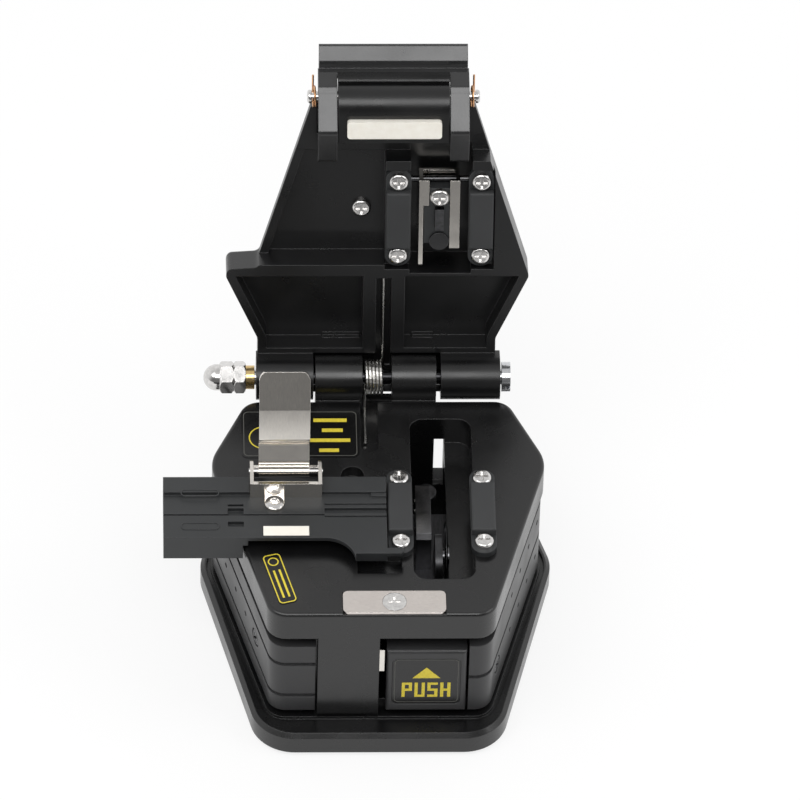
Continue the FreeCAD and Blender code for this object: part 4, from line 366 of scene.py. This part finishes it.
def add_tube(bm, path, radius, sides=12):
    """A closed round wire along a path of points."""
    rings = []
    across = None
    for index, point in enumerate(path):
        along = (path[min(index + 1, len(path) - 1)] - path[max(index - 1, 0)]).normalized()
        if across is None:
            across = along.orthogonal()
        across = (across - along * across.dot(along)).normalized()
        other = along.cross(across)
        turns = [2 * math.pi * side / sides for side in range(sides)]
        rings.append([bm.verts.new(point + (across * math.cos(turn) + other * math.sin(turn)) * radius)
                      for turn in turns])
    for low, high in zip(rings, rings[1:]):
        for i in range(sides):
            j = (i + 1) % sides
            bm.faces.new((low[i], low[j], high[j], high[i]))
    bm.faces.new(rings[0][::-1])
    bm.faces.new(rings[-1])


def add_turned(bm, rings, count, place):
    """A closed solid turned about Z from rings of radius, height and depth of six lobes."""
    loops = []
    for radius, height, lobe in rings:
        turns = [2 * math.pi * i / count for i in range(count)]
        loops.append([bm.verts.new(place @ Vector(((radius + lobe * math.cos(6 * turn)) * math.cos(turn),
                                                   (radius + lobe * math.cos(6 * turn)) * math.sin(turn),
                                                   height))) for turn in turns])
    for low, high in zip(loops, loops[1:]):
        for i in range(count):
            j = (i + 1) % count
            bm.faces.new((low[i], low[j], high[j], high[i]))
    bm.faces.new(loops[0][::-1])
    bm.faces.new(loops[-1])


# ---- Screw head and lip ----

SCREW_FACETS = 48


def bracket_screw():
    """Low button head with a six-lobed recess, which holds the clip's bracket."""
    low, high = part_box("bracket_screw")
    solid_head = 0.85 * MM
    head = 0.4 * MM
    radius = 1.8 * MM
    socket = 0.75 * MM
    lobe = 0.1 * MM
    place = Matrix.Translation(((low.x + high.x) / 2, (low.y + high.y) / 2, high.z - solid_head))
    rings = [(radius, -0.02 * MM, 0), (radius, 0.08 * MM, 0), (0.88 * radius, 0.2 * MM, 0),
             (0.7 * radius, 0.31 * MM, 0), (0.5 * radius, head, 0), (socket, head, lobe),
             (socket * 0.95, 0.05 * MM, lobe)]
    bm = bmesh.new()
    add_turned(bm, rings, SCREW_FACETS, place)
    piece = finish_piece("bracket_screw_head", bm, zinc, "base")
    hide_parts("bracket_screw")


def lever_lip(hinge, opening):
    """Dark lip under the lever's bar that closes the gap in front of the lid's nose."""
    low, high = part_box("release_lever")
    arm = 3.7 * MM
    # Millimetres forward of the hinge and above it, on the shut lid
    profile = [(63.0, 7.9), (63.0, 4.9), (62.6, 4.7), (62.3, 7.9)]
    bm = bmesh.new()
    ends = []
    for x in (low.x + arm, high.x - arm):
        ends.append([bm.verts.new((x, hinge.y + (-out * math.cos(opening) + rise * math.sin(opening)) * MM,
                                   hinge.z + (out * math.sin(opening) + rise * math.cos(opening)) * MM))
                     for out, rise in profile])
    bm.faces.new(ends[0][::-1])
    bm.faces.new(ends[1])
    for i in range(len(profile)):
        j = (i + 1) % len(profile)
        bm.faces.new((ends[0][i], ends[0][j], ends[1][j], ends[1][i]))
    finish_piece("lever_lip", bm, casting, "lever")


# ---- Springs ----

COIL_STEPS = 28
LID_SPRING_TURNS = 5
RETURN_SPRING_TURNS = 8


def lid_spring(hinge, opening):
    """Torsion spring on the bolt: the coil and its lower arm stay, the upper arm moves with the lid."""
    low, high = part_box("lid_spring")
    wire_r = 0.31 * MM
    radius = 3.2 * MM
    coil_end = 3.9 * MM
    start_x, end_x = low.x + wire_r, low.x + coil_end
    turn_end = LID_SPRING_TURNS * 2 * math.pi + math.pi - opening
    steps = LID_SPRING_TURNS * COIL_STEPS
    path = [Vector((start_x, low.y, hinge.z - radius))]
    for step in range(steps + 1):
        turn = turn_end * step / steps
        path.append(Vector((start_x + (end_x - start_x) * step / steps, hinge.y + radius * math.sin(turn),
                            hinge.z - radius * math.cos(turn))))
    bm = bmesh.new()
    add_tube(bm, path, wire_r)
    piece = finish_piece("lid_spring_coil", bm, wire, "base")
    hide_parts("lid_spring")
    foot = path[-1]
    length = (high.z - foot.z) / math.sin(opening)
    bm = bmesh.new()
    add_tube(bm, [foot, foot + Vector((0, -math.cos(opening), math.sin(opening))) * length], wire_r)
    finish_piece("lid_spring_arm", bm, wire, "lid")


def return_spring():
    """Compression spring behind the carriage, a fixed coil on the base."""
    low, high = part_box("return_spring")
    wire_r = 0.35 * MM
    middle = (low + high) / 2
    radius = (high.z - low.z) / 2 - wire_r
    length = high.y - low.y - 2 * wire_r
    steps = RETURN_SPRING_TURNS * COIL_STEPS
    path = []
    for step in range(steps + 1):
        turn = RETURN_SPRING_TURNS * 2 * math.pi * step / steps
        path.append(Vector((middle.x + radius * math.cos(turn), low.y + wire_r + length * step / steps,
                            middle.z + radius * math.sin(turn))))
    bm = bmesh.new()
    add_tube(bm, path, wire_r)
    piece = finish_piece("return_spring_coil", bm, wire, "base")
    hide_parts("return_spring")
    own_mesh(piece)


# ---- Plates on the body ----

FILM_TOP = 0.12 * MM
INK_TOP = 0.15 * MM
STRIKE_PLATE_SUNK = 0.4 * MM


def deck_height():
    """The deck's top, which the strike plate is sunk into."""
    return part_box("strike_plate")[0].z + STRIKE_PLATE_SUNK


def deck_plate():
    """Glossy black plate at the rear left of the deck, with a fine border, a ring and plain bars."""
    size = (22.6 * MM, 12.3 * MM)
    ring_x, ring_y = -7.0 * MM, -1.0 * MM
    ring_outer, ring_inner = 2.9 * MM, 2.65 * MM
    first_row, row_pitch, row_half = 3.5 * MM, 2.6 * MM, 0.45 * MM
    rows = ((2.6, 9.0), (4.2, 8.2), (1.8, 9.6), (3.6, 7.4))
    place = Matrix.Translation((-14.85 * MM, 17.25 * MM, deck_height()))
    bm = bmesh.new()
    add_slab(bm, rounded_loop(*size, 1.2 * MM), 0, FILM_TOP, place)
    finish_piece("deck_plate", bm, film, "base")
    bm = bmesh.new()
    add_border(bm, size, (0.8 * MM, 0.9 * MM), (1.1 * MM, 0.8 * MM), (FILM_TOP, INK_TOP), place)
    finish_piece("deck_plate_border", bm, pale_ink, "base")
    bm = bmesh.new()
    add_frame(bm, shifted(circle_loop(ring_outer), ring_x, ring_y),
              shifted(circle_loop(ring_inner), ring_x, ring_y), FILM_TOP, INK_TOP, place)
    for row, (start, end) in enumerate(rows):
        y = first_row - row * row_pitch
        add_slab(bm, bar_loop(start * MM, end * MM, y - row_half, y + row_half), FILM_TOP, INK_TOP, place)
    finish_piece("deck_plate_marks", bm, yellow_ink, "base")


def side_plate():
    """Small plate along the deck's left edge, with a yellow border, a ring and two plain bars."""
    size = (12.8 * MM, 3.7 * MM)
    ring_x = -4.4 * MM
    ring_outer, ring_inner, ring_points = 1.05 * MM, 0.8 * MM, 24
    bar_start, bar_end, bar_half = -2.2 * MM, 4.9 * MM, 0.2 * MM
    edge_turn = math.atan2(-39.4, 10.8)
    place = Matrix.Translation((-19.3 * MM, -19.9 * MM, deck_height())) @ Matrix.Rotation(edge_turn, 4, "Z")
    bm = bmesh.new()
    add_slab(bm, rounded_loop(*size, 0.9 * MM), 0, FILM_TOP, place)
    finish_piece("side_plate", bm, film, "base")
    bm = bmesh.new()
    add_border(bm, size, (0.3 * MM, 0.8 * MM), (0.75 * MM, 0.6 * MM), (FILM_TOP, INK_TOP), place)
    add_frame(bm, shifted(circle_loop(ring_outer, ring_points), ring_x, 0),
              shifted(circle_loop(ring_inner, ring_points), ring_x, 0), FILM_TOP, INK_TOP, place)
    for y in (0.55 * MM, -0.55 * MM):
        add_slab(bm, bar_loop(bar_start, bar_end, y - bar_half, y + bar_half), FILM_TOP, INK_TOP, place)
    finish_piece("side_plate_marks", bm, yellow_ink, "base")


def letter_bars(letter, width, height, stroke):
    """A block letter as bars that only touch, from its lower left corner."""
    low = (height - stroke) / 2
    high = low + stroke
    left = (0, stroke, 0, height)
    inner = (stroke, width - stroke)
    shapes = {
        "P": [left, (stroke, width, height - stroke, height), (stroke, width, low, high),
              (width - stroke, width, high, height - stroke)],
        "U": [left, (width - stroke, width, 0, height), (*inner, 0, stroke)],
        "S": [(0, width, height - stroke, height), (0, width, low, high), (0, width, 0, stroke),
              (0, stroke, high, height - stroke), (width - stroke, width, stroke, low)],
        "H": [left, (width - stroke, width, 0, height), (*inner, low, high)],
    }
    return shapes[letter]


def push_plate():
    """Label in the push button's recess: an arrow over the plain word PUSH."""
    low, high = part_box("push_button")
    recess_depth = 0.3 * MM
    middle = Vector(((low.x + high.x) / 2, low.y + recess_depth, (low.z + high.z) / 2))
    place = Matrix.Translation(middle) @ Matrix.Rotation(math.pi / 2, 4, "X")
    size = (12.9 * MM, 12.9 * MM)
    film_top, ink_top = 0.08 * MM, 0.12 * MM
    arrow_half, arrow_base, arrow_height = 2.65 * MM, 0.8 * MM, 3.05 * MM
    letter_width, gap, height, stroke = 1.95 * MM, 0.5 * MM, 4.1 * MM, 0.6 * MM
    word_foot = -4.6 * MM
    bm = bmesh.new()
    add_slab(bm, rounded_loop(*size, 1.1 * MM), 0, film_top, place)
    finish_piece("push_plate", bm, film, "slider")
    bm = bmesh.new()
    add_border(bm, size, (0.7 * MM, 0.9 * MM), (0.95 * MM, 0.8 * MM), (film_top, ink_top), place)
    finish_piece("push_plate_border", bm, pale_ink, "slider")
    bm = bmesh.new()
    arrow = [(-arrow_half, arrow_base), (arrow_half, arrow_base), (0, arrow_base + arrow_height)]
    add_slab(bm, arrow, film_top, ink_top, place)
    start = -(4 * letter_width + 3 * gap) / 2
    for index, letter in enumerate("PUSH"):
        x = start + index * (letter_width + gap)
        for x0, x1, y0, y1 in letter_bars(letter, letter_width, height, stroke):
            bar = bar_loop(x + x0, x + x1, y0 + word_foot, y1 + word_foot)
            add_slab(bm, bar, film_top, ink_top, place)
    finish_piece("push_plate_marks", bm, yellow_ink, "slider")


# ---- Trim on the guide ----

def guide_outlines():
    """Two blank moulded outlines at the guide's left end."""
    low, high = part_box("fibre_guide")
    magnet_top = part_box("guide_magnet")[1].z
    size = (7.4 * MM, 1.9 * MM)
    sunk, proud = -0.05 * MM, 0.1 * MM
    bm = bmesh.new()
    for y, z in ((low.y + 16.6 * MM, high.z), (low.y + 8.8 * MM, magnet_top)):
        place = Matrix.Translation((low.x + 7.0 * MM, y, z))
        add_border(bm, size, (0, 0.9 * MM), (0.5 * MM, 0.65 * MM), (sunk, proud), place)
    finish_piece("guide_outlines", bm, moulded, "base")


bolt_low, bolt_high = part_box("hinge_bolt")
hinge_middle = (bolt_low + bolt_high) / 2
bracket_screw()
lever_lip(hinge_middle, LID_OPENING)
lid_spring(hinge_middle, LID_OPENING)
return_spring()
deck_plate()
side_plate()
push_plate()
guide_outlines()


# ---- Camera, floor and light ----

# How much of the floor's white is its own, beside the object and far off
WHITE_NEAR = 0.8
WHITE_FAR = 0.97
# The paper ends here in front of the object, and reaches further at its sides
PAPER_FADE = (-0.21, -0.17)
PAPER_SIDE_FADE = (0.09, 0.16)
# The room's brightness level with the object, overhead, and low down in front
ROOM_LEVEL = 0.95
ROOM_TOP = 0.7
ROOM_FRONT = 0.2
# Where those levels change over, as heights and depths of a unit direction
TOP_FADE = (0.6, 0.95)
FRONT_HEIGHT_FADE = (0.6, 0.85)
FRONT_DEPTH_FADE = (-0.7, -0.2)


def make_camera():
    """Long lens from the front and above, turned and tilted a little."""
    elevation = math.radians(47.38)
    azimuth = math.radians(2.56)
    roll = math.radians(1.77)
    distance = 2.0
    middle_height = 30 * MM
    to_right, to_top = 4.07 * MM, 22.63 * MM
    forward = Vector((math.sin(azimuth) * math.cos(elevation), math.cos(azimuth) * math.cos(elevation),
                      -math.sin(elevation)))
    level = Vector((math.cos(azimuth), -math.sin(azimuth), 0))
    upright = level.cross(forward)
    right = level * math.cos(roll) + upright * math.sin(roll)
    up = upright * math.cos(roll) - level * math.sin(roll)
    target = Vector((0, 0, middle_height)) + right * to_right + up * to_top
    camera = bpy.data.objects.new("camera", bpy.data.cameras.new("camera"))
    camera.data.sensor_width = 36
    camera.data.lens = 470.3
    camera.data.clip_end = 20
    axes = Matrix((right, up, -forward)).transposed().to_4x4()
    camera.matrix_world = Matrix.Translation(target - forward * distance) @ axes
    bpy.context.scene.collection.objects.link(camera)
    bpy.context.scene.camera = camera


def floor_material():
    """White paper that the object stands on, with a darker room beyond its front edge."""
    material, tree, shader, coords = start_material("floor_white")
    shader.inputs["Roughness"].default_value = 0.9
    shader.inputs["Specular IOR Level"].default_value = 0.1
    split = tree.nodes.new("ShaderNodeSeparateXYZ")
    tree.links.new(coords, split.inputs[0])
    behind = map_range(tree, split.outputs["Y"], 0.0, 1.0, *PAPER_FADE)
    off_middle = add_maths(tree, "ABSOLUTE", split.outputs["X"], 0.0)
    aside = map_range(tree, off_middle, 0.0, 1.0, *PAPER_SIDE_FADE)
    near = add_maths(tree, "MAXIMUM", behind, aside)
    tree.links.new(mix_colour(tree, near, (0.2, 0.2, 0.2), (0.9, 0.9, 0.9)), shader.inputs["Base Color"])
    path = tree.nodes.new("ShaderNodeLightPath")
    mirrored = add_maths(tree, "ADD", path.outputs["Is Glossy Ray"], path.outputs["Is Transmission Ray"])
    seen = map_range(tree, near, WHITE_FAR, WHITE_NEAR, 0.0, 1.0)
    share = add_maths(tree, "MULTIPLY", seen, path.outputs["Is Camera Ray"])
    reflected = add_maths(tree, "MULTIPLY", add_maths(tree, "MULTIPLY", mirrored, near), WHITE_NEAR)
    share = add_maths(tree, "ADD", share, reflected)
    glow = tree.nodes.new("ShaderNodeEmission")
    glow.inputs["Color"].default_value = (1, 1, 1, 1)
    glow.inputs["Strength"].default_value = 1.0
    mix = tree.nodes.new("ShaderNodeMixShader")
    tree.links.new(share, mix.inputs[0])
    tree.links.new(shader.outputs[0], mix.inputs[1])
    tree.links.new(glow.outputs[0], mix.inputs[2])
    tree.links.new(mix.outputs[0], tree.nodes["Material Output"].inputs["Surface"])
    return material


def make_floor():
    """Pale floor that is white to the camera and keeps the object's shadow."""
    bm = bmesh.new()
    bmesh.ops.create_grid(bm, x_segments=1, y_segments=1, size=6.0)
    mesh = bpy.data.meshes.new("floor")
    bm.to_mesh(mesh)
    bm.free()
    floor = bpy.data.objects.new("floor", mesh)
    bpy.context.scene.collection.objects.link(floor)
    mesh.materials.append(floor_material())


def make_world():
    """Pale studio all round, dimmer low down in front."""
    world = bpy.data.worlds.new("studio")
    bpy.context.scene.world = world
    world.use_nodes = True
    tree = world.node_tree
    background = tree.nodes["Background"]
    coords = tree.nodes.new("ShaderNodeTexCoord")
    split = tree.nodes.new("ShaderNodeSeparateXYZ")
    tree.links.new(coords.outputs["Generated"], split.inputs[0])
    sky = map_range(tree, split.outputs["Z"], ROOM_LEVEL, ROOM_TOP, *TOP_FADE)
    low = map_range(tree, split.outputs["Z"], 1.0, 0.0, *FRONT_HEIGHT_FADE)
    front = map_range(tree, split.outputs["Y"], 1.0, 0.0, *FRONT_DEPTH_FADE)
    dim = map_range(tree, add_maths(tree, "MULTIPLY", low, front), 1.0, ROOM_FRONT, 0.0, 1.0)
    tree.links.new(add_maths(tree, "MULTIPLY", sky, dim), background.inputs["Color"])
    background.inputs["Strength"].default_value = 1.0


def add_softbox(name, place, aim, size, power):
    """A square area light turned towards a point."""
    lamp = bpy.data.lights.new(name, "AREA")
    lamp.size = size
    lamp.energy = power
    light = bpy.data.objects.new(name, lamp)
    light.location = place
    light.rotation_euler = (Vector(aim) - Vector(place)).to_track_quat("-Z", "Y").to_euler()
    bpy.context.scene.collection.objects.link(light)


make_camera()
make_floor()
make_world()
add_softbox("key", (-0.35, -0.25, 0.75), (0, 0, 0.03), 0.45, 1.6)
add_softbox("fill", (0.55, -0.15, 0.55), (0, 0, 0.03), 0.4, 1.0)
add_softbox("overhead", (0, -0.5, 0.86), (0, 0, 0.05), 0.44, 2.4)
bpy.context.scene.view_settings.view_transform = "Standard"
